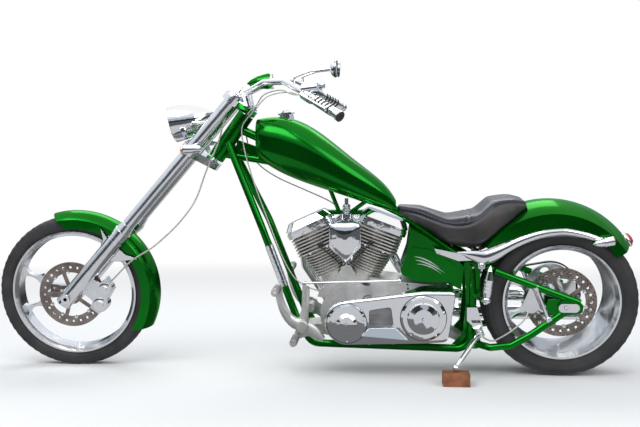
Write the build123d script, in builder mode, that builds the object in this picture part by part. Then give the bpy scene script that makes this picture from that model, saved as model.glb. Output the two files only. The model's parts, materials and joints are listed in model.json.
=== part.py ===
import json
import math
import os

from build123d import *

os.makedirs("parts", exist_ok=True)

# Sizes in millimetres and degrees. The machine is modelled upright, X forward from the rear axle,
# Y to the rider's left, Z up from the ground, and is leaned on its side stand at the end.
WHEELBASE = 2127.0
REAR_R, REAR_W, REAR_FLANGE, REAR_BEAD, REAR_HUB = 325.0, 285.0, 243.0, 122.0, 109.0
FRONT_R, FRONT_W, FRONT_FLANGE, FRONT_BEAD, FRONT_HUB = 340.0, 120.0, 278.0, 44.0, 70.0
AXLE_R, AXLE_BORE_R, RUNNING_GAP = 14.0, 8.0, 0.3
DISC_R, DISC_T, DISC_STANDOFF, PAD_GAP = 146.0, 6.0, 8.0, 5.5
REAR_DISC_Y, FRONT_DISC_Y = REAR_HUB + DISC_STANDOFF, FRONT_HUB + DISC_STANDOFF
FORK_RAKE, NECK_RAKE = 41.5, 36.5
LEG_Y, SLIDER_R, LEG_R, SLIDER_TOP = 125.0, 34.0, 27.0, 385.0
NECK_BEHIND, NECK_Z, NECK_HALF = 722.0, 1027.0, 116.0
STEM_R, HEAD_BORE_R, HEAD_R = 14.0, 19.0, 36.0
CLAMP_GAP, LOWER_CLAMP, UPPER_CLAMP = 9.0, 34.0, 28.0
BACKBONE_R, BRACE_R, RAIL_R, RAIL_Y = 19.0, 16.0, 16.0, 126.0
BAR_R = 13.0
CRANK, CLUTCH, OUTPUT = (892.0, 255.0), (576.0, 280.0), (545.0, 292.0)
V_ANGLE, V_TILT = 45.0, 1.5
ARM_Y, ARM_R, ARM_BOSS = 194.0, 15.0, 16.0
BELT_Y, BELT_W, BELT_T, PULLEY_R, OUTPUT_R = -162.0, 22.0, 6.0, 112.0, 55.0
FENDER_GAP, FENDER_BACK, FENDER_WALL = 26.0, 12.0, 5.0
ARCH_GAP, ARCH_X, ARCH_UP, ARCH_WALL = 61.0, 40.0, 37.0, 6.0
STRUT_T, HOSE_R, CABLE_R = 12.0, 3.5, 3.0
LEAN, STEER = 7.2, 3.5
STAND_PIVOT = (341.0, 166.0, 201.0)
STAND_DOWN = (109.0, 172.0, -98.0)
STAND_UP = (-0.88, 0.42, 0.24)
STAND_LENGTH = 226.0
STAND_HEAD, STAND_PIN_R = 14.0, 6.0
FOOT_R, FOOT_GAP = 14.0, 0.5
BLOCK_X, BLOCK_Y, BLOCK_Z = 106.0, 89.0, 50.0


def unit(v):
    return Vector(*v).normalized()


FORK_DIR = Vector(-math.sin(math.radians(FORK_RAKE)), 0, math.cos(math.radians(FORK_RAKE)))
FORK_BACK = Vector(-math.cos(math.radians(FORK_RAKE)), 0, -math.sin(math.radians(FORK_RAKE)))
NECK_DIR = Vector(-math.sin(math.radians(NECK_RAKE)), 0, math.cos(math.radians(NECK_RAKE)))
NECK = Vector(WHEELBASE - NECK_BEHIND, 0, NECK_Z)
FRONT_AXLE = Vector(WHEELBASE, 0, FRONT_R)
REAR_AXLE = Vector(0, 0, REAR_R)


def leg_point(s, y=0.0, back=0.0):
    return FRONT_AXLE + FORK_DIR * s + FORK_BACK * back + Vector(0, y, 0)


def neck_point(t, y=0.0):
    return NECK + NECK_DIR * t + Vector(0, y, 0)


def from_neck(x, y, z):
    """A place given ahead of, left of and above the middle of the head tube."""
    return NECK + Vector(x, y, z)


def from_rear(x, z):
    """A side view place given ahead of and above the rear axle."""
    return (x, REAR_R + z)


def rod(a, b, r, mode=Mode.ADD):
    a, b = Vector(*a), Vector(*b)
    with Locations(Plane(a, z_dir=b - a)):
        Cylinder(r, (b - a).length, align=(Align.CENTER, Align.CENTER, Align.MIN), mode=mode)


def taper(a, b, ra, rb, mode=Mode.ADD):
    a, b = Vector(*a), Vector(*b)
    with Locations(Plane(a, z_dir=b - a)):
        Cone(ra, rb, (b - a).length, align=(Align.CENTER, Align.CENTER, Align.MIN), mode=mode)


def ball(p, r, mode=Mode.ADD):
    with Locations(Location(tuple(p))):
        Sphere(r, mode=mode)


def pipe(points, bends, r, mode=Mode.ADD):
    with BuildLine() as route:
        FilletPolyline(*points, radius=bends)
    path = route.wire()
    with BuildSketch(Plane(path @ 0, z_dir=path % 0)) as section:
        Circle(r)
    sweep(section.sketch, path=path, mode=mode)


def side_plane(y):
    return Plane(origin=(0, y, 0), x_dir=(1, 0, 0), z_dir=(0, -1, 0))


def slab(points, y_low, y_high, mode=Mode.ADD):
    with BuildSketch(side_plane(y_high)) as section:
        with BuildLine():
            Polyline(*points, close=True)
        make_face()
    extrude(section.sketch, amount=y_high - y_low, mode=mode)


def plate(points, radius, y_low, y_high, mode=Mode.ADD):
    """A slab whose corners in the side view are rounded."""
    with BuildSketch(side_plane(y_high)) as section:
        with BuildLine():
            Polyline(*points, close=True)
        make_face()
        fillet(section.vertices(), radius)
    extrude(section.sketch, amount=y_high - y_low, mode=mode)


def cord(points, r):
    """A hose of straight runs joined by arcs as large as its runs allow; gives the radii."""
    points = [Vector(*p) for p in points]
    runs = [b - a for a, b in zip(points, points[1:])]
    bends = [
        0.45 * min(p.length, q.length) / math.tan(math.radians(p.get_angle(q)) / 2)
        for p, q in zip(runs, runs[1:])
    ]
    pipe(points, bends, r)
    return bends


def turned(a, d, profile, mode=Mode.ADD):
    a, d = Vector(*a), unit(d)
    across = Vector(0, 0, 1).cross(d) if abs(d.Z) < 0.9 else Vector(0, 1, 0).cross(d)
    with BuildSketch(Plane(a, x_dir=d, z_dir=across)) as section:
        with BuildLine():
            Polyline(*profile, close=True)
        make_face()
    revolve(section.sketch, axis=Axis(a, d), mode=mode)


def polar(r, deg):
    return (r * math.cos(math.radians(deg)), r * math.sin(math.radians(deg)))


# Wheels, built about their own centres with the axle along Y.
WHEELS = [
    # name, outer radius, width, flange radius, bead half width, spoke y low, spoke y high, hub half, disc y
    ("front", FRONT_R, FRONT_W, FRONT_FLANGE, FRONT_BEAD, -16.0, 16.0, FRONT_HUB, FRONT_DISC_Y),
    ("rear", REAR_R, REAR_W, REAR_FLANGE, REAR_BEAD, 20.0, 56.0, REAR_HUB, REAR_DISC_Y),
]
TYRE_SHAPE = [
    # share of the wall's height, share of the half width
    (0.24, 0.955), (0.50, 1.0), (0.72, 0.955), (0.85, 0.84), (0.94, 0.62), (0.985, 0.32), (1.0, 0.0),
]


def tyre_section(outer, flange, half, bead):
    """Half profile as (radius, side) points, mirrored about the tyre's middle."""
    rising = [(flange - 14, bead), (flange, bead)]
    rising += [(flange + h * (outer - flange), half * w) for h, w in TYRE_SHAPE]
    return rising + [(r, -y) for r, y in reversed(rising[:-1])]


wheel_parts = {}
for name, outer, width, flange, bead, y_low, y_high, hub_half, disc_y in WHEELS:
    half = width / 2
    with BuildPart() as tyre:
        with BuildSketch(Plane.XY):
            with BuildLine():
                Polyline(*tyre_section(outer, flange, half, bead), close=True)
            make_face()
            with BuildLine():
                Polyline(*tyre_section(outer - 13, flange, half - 11, bead - 10), close=True)
            make_face(mode=Mode.SUBTRACT)
        revolve(axis=Axis.Y)
    with BuildPart() as rim:
        with BuildSketch(Plane.XY):
            with BuildLine():
                Polyline(
                    (flange, bead), (flange, bead + 8), (flange - 8, bead + 8), (flange - 22, bead - 8),
                    (flange - 22, 8 - bead), (flange - 8, -bead - 8), (flange, -bead - 8), (flange, -bead),
                    (flange - 14, -bead), (flange - 14, bead), close=True,
                )
            make_face()
        revolve(axis=Axis.Y)
        rod((0, -hub_half, 0), (0, hub_half, 0), 40.0)
        reach = flange - 18
        with BuildSketch(side_plane(y_high)):
            with PolarLocations(0, 5, start_angle=76):
                with BuildLine():
                    for side in (1, -1):
                        root, neck = (30, side * 24), (0.46 * reach, side * 0.125 * reach)
                        barb, foot = polar(0.66 * reach, side * 26), polar(reach, side * 28)
                        Line(root, neck)
                        ThreePointArc(neck, (0.55 * reach, side * 0.185 * reach), barb)
                        ThreePointArc(barb, polar(0.84 * reach, side * 21), foot)
                        Line(foot, polar(reach, side * 14))
                    ThreePointArc(polar(reach, 14), (0.60 * reach, 0), polar(reach, -14))
                    Line((30, 24), (30, -24))
                make_face()
        extrude(amount=y_high - y_low)
        rod((0, -hub_half - 1, 0), (0, hub_half + 1, 0), AXLE_R + RUNNING_GAP, Mode.SUBTRACT)
    with BuildPart() as disc:
        with BuildSketch(side_plane(disc_y + DISC_T / 2)):
            Circle(DISC_R)
            Circle(100, mode=Mode.SUBTRACT)
            with PolarLocations(123, 24):
                Circle(6, mode=Mode.SUBTRACT)
        extrude(amount=DISC_T)
        with BuildSketch(side_plane(disc_y + DISC_T / 2)):
            Circle(44)
            Circle(24, mode=Mode.SUBTRACT)
            with PolarLocations(72, 5):
                Rectangle(64, 16)
        extrude(amount=DISC_T)
        rod((0, hub_half, 0), (0, disc_y, 0), 38)
        rod((0, hub_half - 1, 0), (0, disc_y + 9, 0), AXLE_R + RUNNING_GAP, Mode.SUBTRACT)
    wheel_parts[name] = (tyre.part, rim.part, disc.part)

with BuildPart() as rear_pulley:
    rod((0, -REAR_HUB, 0), (0, BELT_Y + BELT_W / 2, 0), 50)
    rod((0, BELT_Y + BELT_W / 2, 0), (0, BELT_Y - BELT_W / 2, 0), PULLEY_R)
    with BuildSketch(side_plane(BELT_Y + BELT_W / 2)):
        with PolarLocations(78, 5):
            Circle(22)
    extrude(amount=BELT_W, mode=Mode.SUBTRACT)
    rod((0, 1 - REAR_HUB, 0), (0, BELT_Y - BELT_W, 0), AXLE_R + RUNNING_GAP, Mode.SUBTRACT)

# Frame: head tube, backbone and its brace, two downtubes that run on as lower rails and rear
# posts, boxed plates on the posts, and the top mount that holds the heads.
POST_X, CROSS_R = 366.0, 14.0
with BuildPart() as frame:
    rod(neck_point(-NECK_HALF), neck_point(NECK_HALF), HEAD_R)
    pipe([from_neck(-30, 0, 35), from_neck(-165, 0, -27), (760, 0, 735), (640, 0, 674)], [60, 120], BACKBONE_R)
    pipe([from_neck(40, 0, -77), from_neck(-115, 0, -102), from_neck(-225, 0, -122), (1000, 0, 868)], [80, 80],
         BRACE_R)
    for side in (1, -1):
        pipe(
            [from_neck(10, side * 22, -27), from_neck(-143, side * 112, -379), (1110, side * RAIL_Y, 240),
             (1050, side * RAIL_Y, 140), (380, side * RAIL_Y, 122), (POST_X, side * 112, 300),
             (POST_X, side * 100, 484), (430, side * 88, 520), (650, side * BACKBONE_R, 674)],
            [200, 60, 60, 60, 200, 60, 100], RAIL_R,
        )
        plate([(404, 494), (336, 486), (334, 352), (352, 330), (352, 200), (336, 120), (470, 112), (404, 190),
               (392, 330)], 8, min(side * 100, side * 114), max(side * 100, side * 114))
    for z, y, x in ((480, 106, POST_X), (128, RAIL_Y, 380), (190, RAIL_Y - 2, 1085)):
        rod((x, -y, z), (x, y, z), CROSS_R)
    rod((450, -84, 531), (450, 84, 531), 10)
    slab([tuple(from_neck(x, 0, z))[::2] for x, z in ((-30, -17), (-143, -57), (-143, -107), (-5, -97))], -8, 8)
    rod((1000, 0, 860), (935, 0, 692), 9)
    rod((800, 0, 752), (884, 0, 692), 9)
    slab([(995, 700), (995, 684), (815, 684), (815, 700)], -22, 22)
    rod(neck_point(-NECK_HALF - 2), neck_point(NECK_HALF + 2), HEAD_BORE_R, Mode.SUBTRACT)

# Front end: clamps, legs, axle, bars and what they carry.
CLAMP_R, SIGNAL_R = 40.0, 21.0


def clamp_at(t):
    """Where a clamp's middle on the steering axis lies along and behind the fork legs."""
    away = neck_point(t) - FRONT_AXLE
    return away.dot(FORK_DIR), away.dot(FORK_BACK)


lower_s, lower_back = clamp_at(-NECK_HALF - CLAMP_GAP - LOWER_CLAMP / 2)
upper_s, upper_back = clamp_at(NECK_HALF + CLAMP_GAP + UPPER_CLAMP / 2)
LEG_TOP = upper_s + 18
CABLE_SIDES = {"left": Vector(-14, 46, -10), "right": Vector(-14, -46, -10)}
with BuildPart() as clamps:
    for s, back, thick in ((lower_s, lower_back, LOWER_CLAMP), (upper_s, upper_back, UPPER_CLAMP)):
        with BuildSketch(Plane(leg_point(s - thick / 2), x_dir=(0, 1, 0), z_dir=FORK_DIR)) as clamp_plate:
            with Locations((-LEG_Y, 0), (LEG_Y, 0)):
                Circle(CLAMP_R)
            with Locations((0, -back if (FORK_DIR.cross(Vector(0, 1, 0))).dot(FORK_BACK) < 0 else back)):
                Circle(HEAD_R)
            make_hull()
        extrude(amount=thick)
    rod(neck_point(-150), neck_point(150), STEM_R)
    for end in (-1, 1):
        rod(neck_point(end * NECK_HALF), neck_point(end * (NECK_HALF - 18)), HEAD_BORE_R - RUNNING_GAP)
    rod(neck_point(146), neck_point(168), 20)
    for side in (1, -1):
        lamp = leg_point(lower_s, side * (LEG_Y + CLAMP_R + 12)) + Vector(22, 0, 10)
        rod(lamp - Vector(42, 0, 0), lamp - Vector(42, side * 40, 0), 12)
        turned(lamp, (-1, 0, 0), [(0, 0), (0, SIGNAL_R - 3), (8, SIGNAL_R), (46, SIGNAL_R - 2), (74, 14), (92, 0)])
        rod(leg_point(lower_s - 150, side * LEG_Y), leg_point(1300, side * LEG_Y), LEG_R, Mode.SUBTRACT)
    for guide in CABLE_SIDES.values():
        rod(neck_point(125) + guide, neck_point(153) + guide, 9)
        rod(neck_point(110) + guide, neck_point(170) + guide, CABLE_R, Mode.SUBTRACT)

legs = {}
for side, name in ((1, "left"), (-1, "right")):
    y = side * LEG_Y
    with BuildPart() as leg:
        rod(leg_point(-38, y), leg_point(SLIDER_TOP, y), SLIDER_R)
        rod(leg_point(SLIDER_TOP - 14, y), leg_point(SLIDER_TOP + 4, y), SLIDER_R + 4)
        taper(leg_point(SLIDER_TOP + 4, y), leg_point(SLIDER_TOP + 40, y), SLIDER_R, LEG_R + 2)
        rod(leg_point(SLIDER_TOP, y), leg_point(LEG_TOP, y), LEG_R)
        ball(leg_point(LEG_TOP, y), LEG_R)
        taper(leg_point(LEG_TOP + 20, y), leg_point(LEG_TOP + 58, y), 8, 1)
        rod(leg_point(0, -200), leg_point(0, 200), AXLE_R, Mode.SUBTRACT)
    legs[name] = leg.part

AXLE_END = LEG_Y + SLIDER_R
with BuildPart() as front_axle:
    rod(leg_point(0, -AXLE_END - 6), leg_point(0, AXLE_END + 6), AXLE_R)
    for side in (1, -1):
        rod(leg_point(0, side * AXLE_END), leg_point(0, side * (AXLE_END + 13)), 19)
    rod(leg_point(0, -AXLE_END - 21), leg_point(0, AXLE_END + 21), AXLE_BORE_R, Mode.SUBTRACT)


# The bar's half, as places ahead of, beside and above the middle of the head tube.
BAR = [(-75, 0, 185), (-75, 60, 185), (-165, 120, 231), (-255, 195, 233), (-330, 315, 197), (-480, 450, 105)]
BAR_BEND, GRIP_TO = from_neck(*BAR[-2]), from_neck(*BAR[-1])
GRIP_FROM = BAR_BEND + (GRIP_TO - BAR_BEND).normalized() * 56
with BuildPart() as handlebar:
    for side in (1, -1):
        pipe([from_neck(x, side * y, z) for x, y, z in BAR], [30, 40, 60, 60], BAR_R)
        rod(from_neck(-87, side * 42, 123), from_neck(-75, side * 42, 185), 15)
        ball(from_neck(-75, side * 42, 185), 17)

grips, controls, mirrors = {}, {}, {}
for side, name in ((1, "left"), (-1, "right")):
    start = Vector(GRIP_FROM.X, side * GRIP_FROM.Y, GRIP_FROM.Z)
    end = Vector(GRIP_TO.X, side * GRIP_TO.Y, GRIP_TO.Z)
    along = (end - start).normalized()
    with BuildPart() as grip:
        rod(start + along * 12, end + along * 4, 18)
        rod(start + along * 12, start + along * 20, 22)
        rod(end - along * 4, end + along * 10, 21)
        for k in range(6):
            rod(start + along * (34 + 18 * k), start + along * (40 + 18 * k), 19.5)
        rod(start - along * 20, end, BAR_R, Mode.SUBTRACT)
    grips[name] = grip.part
    with BuildPart() as control:
        rod(start - along * 34, start + along * 10, 25)
        pot = start + Vector(2, 0, 34)
        rod(start - along * 12, pot, 12)
        rod(pot + Vector(30, -side * 8, -3), pot - Vector(32, -side * 9, -4), 17)
        root = start + Vector(22, side * 4, 6) - along * 22
        knee, tip = root + along * 34 + Vector(22, side * 8, 8), root + along * 172 + Vector(16, side * 8, 12)
        rod(root, knee, 5.5)
        ball(knee, 5.5)
        rod(knee, tip, 5.5)
        rod(tip - (tip - knee).normalized() * 12, tip + (tip - knee).normalized() * 2, 8)
        rod(start - along * 46, end, BAR_R, Mode.SUBTRACT)
    controls[name] = control.part
    foot = from_neck(-300, side * 268, 235)
    head = from_neck(-467, side * 282, 283)
    with BuildPart() as mirror:
        pipe([foot - Vector(2, -side * 6, 30), foot + Vector(0, 0, 16), from_neck(-365, side * 274, 273),
              head + Vector(22, -side * 4, -2)], [14, 30], 5)
        turned(head + Vector(24, -side * 4, 0), Vector(-1, side * 0.1, -0.05),
               [(0, 0), (4, 14), (10, 26), (18, 32), (24, 34), (27, 34), (27, 0)])
    mirrors[name] = mirror.part

LAMP_FACE, LAMP_TIP, LAMP_R = from_neck(235, 0, 64), from_neck(53, 0, 100), 84.0
with BuildPart() as headlight:
    axis = (LAMP_FACE - LAMP_TIP).normalized()
    length = (LAMP_FACE - LAMP_TIP).length
    body = [(length * k / 8, LAMP_R * math.sin(math.pi / 2 * (k / 8)) ** 0.8) for k in range(1, 9)]
    turned(LAMP_TIP, axis, [(0, 0)] + body + [(length + 14, LAMP_R), (length + 14, LAMP_R - 8),
                                               (length + 4, LAMP_R - 10), (length + 9, LAMP_R * 0.5), (length + 11, 0)])
    rod(from_neck(155, 0, 23), from_neck(144, 0, -27), 14)
    for side in (1, -1):
        taper(from_neck(160, side * 60, 62), from_neck(96, side * 78, 66), 9, 6)

with BuildPart() as gauge:
    turned(from_neck(-75, 0, 225), (-1, 0, 0.1), [(0, 0), (20, 15), (50, 27), (90, 34), (112, 34), (112, 29), (108, 0)])
    rod(from_neck(-79, 0, 188), from_neck(-109, 0, 223), 9)
    rod(from_neck(-75, -30, 185), from_neck(-75, 30, 185), BAR_R, Mode.SUBTRACT)

FENDER_R, FENDER_HALF = FRONT_R + FENDER_GAP, FRONT_W / 2 + 10
FENDER_SKIRT = FENDER_R - 72
FENDER_CENTRE = FRONT_AXLE - Vector(FENDER_BACK, 0, 0)


def hoop_section(low, high, half, top, wall):
    """Wall of a fender cut across: two straight sides and a crowned top."""
    with BuildLine() as wall_line:
        Line((low, half), (high, half))
        ThreePointArc((high, half), (top, 0), (high, -half))
        Line((high, -half), (low, -half))
        Line((low, -half), (low, wall - half))
        Line((low, wall - half), (high - 2, wall - half))
        ThreePointArc((high - 2, wall - half), (top - wall, 0), (high - 2, half - wall))
        Line((high - 2, half - wall), (low, half - wall))
        Line((low, half - wall), (low, half))
    make_face(wall_line.edges())


with BuildPart() as fender_hoop:
    with BuildSketch(Plane(FENDER_CENTRE, x_dir=(1, 0, 0), z_dir=(0, 0, 1))):
        hoop_section(FENDER_SKIRT, FENDER_R - 32, FENDER_HALF, FENDER_R, FENDER_WALL)
    revolve(axis=Axis(FENDER_CENTRE, (0, -1, 0)), revolution_arc=150)


def round_front(r, deg):
    across, up = polar(r, deg)
    return (FRONT_AXLE.X + across, FRONT_AXLE.Z + up)


FENDER_THORNS = [
    # corners as (distance along the leg, distance behind its centre line)
    [(222, -24), (300, -24), (322, -92), (286, -52)],
    [(222, -24), (222, 26), (262, 74), (322, 124), (300, 66), (304, -24)],
]
with BuildPart() as front_fender_with_mounts:
    add(fender_hoop.part.rotate(Axis(FENDER_CENTRE, (0, -1, 0)), 74))
    # Both ends are cut on a slant, so that the crown runs on to a point in front and the sides behind.
    slab([round_front(FENDER_R - 110, 96), round_front(FENDER_R + 20, 75), round_front(FENDER_R + 20, 60),
          round_front(FENDER_R - 110, 60)], -100, 100, Mode.SUBTRACT)
    slab([round_front(FENDER_R - 110, 224), round_front(FENDER_R + 30, 204), round_front(FENDER_R + 30, 240),
          round_front(FENDER_R - 110, 240)], -100, 100, Mode.SUBTRACT)
    for side in (1, -1):
        y_low, y_high = sorted((side * (FENDER_HALF - 2), side * (FENDER_HALF + 8)))
        for thorn in FENDER_THORNS:
            slab([tuple(leg_point(at, 0, back))[::2] for at, back in thorn], y_low, y_high)
        for at in (240, 290):
            rod(leg_point(at, side * (FENDER_HALF - 2), 8), leg_point(at, side * 112, 8), 10)
        rod(leg_point(-30, side * LEG_Y), leg_point(SLIDER_TOP, side * LEG_Y), SLIDER_R, Mode.SUBTRACT)
front_fender = front_fender_with_mounts.part


def caliper_spot(beyond, deg):
    """Side view place behind the fork leg: distance beyond the disc's edge, and angle up the leg."""
    up, back = polar(DISC_R + beyond, 90 - deg)
    return tuple(leg_point(up, 0, back))[::2]


def across(spot, y):
    return (spot[0], y, spot[1])


with BuildPart() as front_caliper:
    for beyond, deg, piston_r in ((-8, 25.8, 36), (15.6, 53.5, 32)):
        spot = caliper_spot(beyond, deg)
        rod(across(spot, FRONT_DISC_Y - 16), across(spot, FRONT_DISC_Y + 34), piston_r)
    slab([caliper_spot(-44, 11), caliper_spot(5, 8), caliper_spot(51, 49.5), caliper_spot(38, 67.6)],
         FRONT_DISC_Y - 16, FRONT_DISC_Y + 34)
    slab([tuple(leg_point(up, 0, back))[::2] for up, back in ((50, 20), (50, 100), (130, 80), (130, 20))],
         FRONT_DISC_Y + 18, FRONT_DISC_Y + 34)
    rod(leg_point(0, FRONT_DISC_Y - DISC_T / 2 - PAD_GAP), leg_point(0, FRONT_DISC_Y + DISC_T / 2 + PAD_GAP),
        DISC_R + 6, Mode.SUBTRACT)
    rod(leg_point(-40, LEG_Y), leg_point(300, LEG_Y), SLIDER_R, Mode.SUBTRACT)

# Engine: cases, two finned cylinders, covers, primary, intake and exhausts.
with BuildPart() as engine_cases:
    with BuildSketch(side_plane(80)):
        with Locations(CRANK):
            Circle(125)
        with Locations((760, 300)):
            Rectangle(80, 160)
        make_hull()
    extrude(amount=160)
    slab([(800, 180), (800, 420), (640, 400), (470, 385), (470, 190), (520, 165)], -95, 95)
    rod((OUTPUT[0], -80, OUTPUT[1]), (OUTPUT[0], BELT_Y + BELT_W / 2, OUTPUT[1]), 30)
    rod((OUTPUT[0], BELT_Y + BELT_W / 2, OUTPUT[1]), (OUTPUT[0], BELT_Y - BELT_W / 2, OUTPUT[1]), OUTPUT_R)
    slab([(1030, 330), (1000, 385), (860, 400), (790, 360), (850, 300)], -70, 70)
    slab([(960, 210), (1078, 202), (1078, 178), (960, 150)], -60, 60)
    slab([(500, 215), (386, 138), (386, 120), (500, 168)], -60, 60)
    turned((CRANK[0] + 10, -80, CRANK[1] + 10), (0, -1, 0), [(0, 0), (0, 92), (22, 84), (26, 70), (32, 0)])
    for lean in (V_TILT + V_ANGLE / 2, V_TILT - V_ANGLE / 2):
        up = polar(1, 90 - lean)
        lifter = [Vector(CRANK[0] + up[0] * k, -90, CRANK[1] + up[1] * k) for k in (90, 160)]
        rod(*lifter, 24)

cylinders, rockers = {}, {}
BASE, HEAD, TOP = 150.0, 312.0, 396.0
crank = Vector(CRANK[0], 0, CRANK[1])
for name, lean, inward in (("front", V_TILT + V_ANGLE / 2, -1), ("rear", V_TILT - V_ANGLE / 2, 1)):
    up = Vector(math.sin(math.radians(lean)), 0, math.cos(math.radians(lean)))
    along = Vector(up.Z, 0, -up.X) * inward
    with BuildPart() as cylinder:
        rod(crank + up * BASE, crank + up * TOP, 56)
        for k in range(9):
            at = 196 + 12.5 * k
            grow = min(1.0, 0.82 + 0.03 * k)
            with BuildSketch(Plane(crank + up * at, x_dir=(0, 1, 0), z_dir=up)):
                RegularPolygon(88 * grow, 8, rotation=22.5)
            extrude(amount=4)
        for k in range(6):
            at = HEAD + 14 * k
            with BuildSketch(Plane(crank + up * at, x_dir=(0, 1, 0), z_dir=up)):
                Rectangle(176, 196)
                chamfer(vertices(), length=26)
            extrude(amount=5)
        for low_at, high_at in ((2, 16), (20, 44)):
            rod(crank + up * 156 + along * low_at - Vector(0, 90, 0),
                crank + up * (TOP - 8) + along * high_at - Vector(0, 60, 0), 8)
    cylinders[name] = cylinder
    with BuildPart() as rocker:
        with BuildSketch(Plane(crank + up * TOP, x_dir=(0, 1, 0), z_dir=up)):
            RectangleRounded(150, 214, 34)
        extrude(amount=24)
        with BuildSketch(Plane(crank + up * (TOP + 24), x_dir=(0, 1, 0), z_dir=up)):
            RectangleRounded(138, 204, 32)
        extrude(amount=10)
        with BuildSketch(Plane(crank + up * (TOP + 34), x_dir=(0, 1, 0), z_dir=up)):
            RectangleRounded(150, 214, 34)
        with BuildSketch(Plane(crank + up * (TOP + 62), x_dir=(0, 1, 0), z_dir=up)):
            RectangleRounded(104, 172, 34)
        loft()
    rockers[name] = rocker

with BuildPart() as primary_cover:
    with BuildSketch(side_plane(235)) as outline:
        with Locations(CRANK):
            Circle(94)
        with Locations(CLUTCH):
            Circle(110)
        with Locations((462, 372)):
            Circle(18)
        with Locations((500, 205)):
            Circle(30)
        make_hull()
    extrude(amount=155)
    fillet(faces().sort_by(Axis.Y)[-1].edges(), 14)
    plate([(800, 312), (708, 326), (698, 246), (800, 238)], 12, 226, 236, Mode.SUBTRACT)
    turned((CRANK[0], 235, CRANK[1]), (0, 1, 0), [(-2, 0), (-2, 84), (4, 82), (7, 74), (7, 42), (16, 30), (20, 0)])
    turned((CLUTCH[0], 235, CLUTCH[1]), (0, 1, 0), [(-2, 0), (-2, 95), (5, 93), (9, 84), (9, 67), (16, 62), (22, 40), (25, 0)])

with BuildPart() as intake:
    rod((895, -40, 590), (895, -150, 590), 30)
    turned((895, -150, 590), (0, -1, 0), [(0, 0), (0, 84), (14, 88), (40, 82), (52, 60), (58, 0)])
    rod((868, -20, 590), (922, -20, 590), 22)

with BuildPart() as horn_cover:
    slab([(968, 656), (968, 560), (901, 496), (836, 560), (836, 658), (901, 676)], 96, 146)
    slab([(940, 640), (940, 570), (901, 528), (864, 570), (864, 640)], 146, 156)
    rod((901, 50, 620), (901, 100, 620), 14)
    rod((846, 50, 620), (958, 50, 620), 9)

exhausts = {}
EXHAUSTS = [
    ("front", [(1040, -84, 560), (1104, -130, 556), (1104, -160, 430), (985, -205, 225), (880, -248, 190),
               (-150, -248, 190)], [30, 50, 80, 60]),
    ("rear", [(760, -84, 560), (740, -150, 540), (690, -236, 430), (600, -248, 290), (-150, -248, 276)], [40, 60, 60]),
]
for name, route, bends in EXHAUSTS:
    with BuildPart() as exhaust:
        pipe(route, bends, 22)
        rod((route[-1][0] + 520, route[-1][1], route[-1][2]), route[-1], 32)
        taper((route[-1][0] + 570, route[-1][1], route[-1][2]), (route[-1][0] + 520, route[-1][1], route[-1][2]), 22, 32)
        rod((route[-1][0] - 10, route[-1][1], route[-1][2]), (route[-1][0] + 300, route[-1][1], route[-1][2]), 29, Mode.SUBTRACT)
    exhausts[name] = exhaust

with BuildPart() as oil_tank:
    slab([(628, 640), (643, 533), (669, 457), (663, 440), (612, 415), (560, 408), (487, 410), (429, 384), (416, 376),
          (404, 474), (450, 527), (560, 600)], -128, 128)
    for side in (1, -1):
        slab([(618, 560), (632, 470), (610, 440), (500, 432), (438, 420), (440, 480), (520, 545)],
             128 if side > 0 else -134, 134 if side > 0 else -128)

# Bodywork: tank, cap, seat, rear fender with struts, lamps and pegs.
TANK_REAR, TANK_FRONT = 688.0, NECK.X - 121.0
TANK = [
    # share of the length, top, bottom, half width
    (1.0, 1098, 940, 84), (0.85, 1107, 876, 124), (0.6, 1056, 814, 133), (0.34, 936, 762, 112),
    (0.14, 842, 720, 80), (0.0, 738, 698, 42),
]
with BuildPart() as fuel_tank:
    for share, top, bottom, half in TANK:
        x = TANK_REAR + share * (TANK_FRONT - TANK_REAR)
        high = top - bottom
        with BuildSketch(Plane(origin=(x, 0, (top + bottom) / 2), x_dir=(0, 1, 0), z_dir=(1, 0, 0))):
            RectangleRounded(2 * half, high, min(half, high / 2) * 0.82)
    loft()
with BuildPart() as fuel_cap:
    rod(from_neck(-255, 0, 33), from_neck(-245, 0, 95), 30)
    turned(from_neck(-245, 0, 91), (0.08, 0, 1), [(0, 0), (0, 36), (8, 36), (16, 26), (20, 0)])

SEAT = [
    # x, top, bottom, half width
    (682, 724, 694, 34), (585, 716, 634, 84), (470, 674, 566, 132), (350, 694, 552, 156), (290, 750, 560, 158),
    (205, 757, 640, 140), (140, 742, 712, 100),
]
with BuildPart() as seat:
    for x, top, bottom, half in SEAT:
        high = top - bottom
        with BuildSketch(Plane(origin=(x, 0, (top + bottom) / 2), x_dir=(0, 1, 0), z_dir=(1, 0, 0))):
            RectangleRounded(2 * half, high, min(half, high / 2) * 0.8)
    loft(ruled=True)

ARCH = Vector(ARCH_X, 0, REAR_R + ARCH_UP)
ARCH_R, ARCH_HALF = REAR_R + ARCH_GAP, REAR_W / 2 + 17.5
with BuildPart() as rear_hoop:
    with BuildSketch(Plane(ARCH, x_dir=(1, 0, 0), z_dir=(0, 0, 1))):
        hoop_section(ARCH_R - 90, ARCH_R - 46, ARCH_HALF, ARCH_R, ARCH_WALL)
    revolve(axis=Axis(ARCH, (0, -1, 0)), revolution_arc=112)
rear_fender = rear_hoop.part.rotate(Axis(ARCH, (0, -1, 0)), 36)

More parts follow.
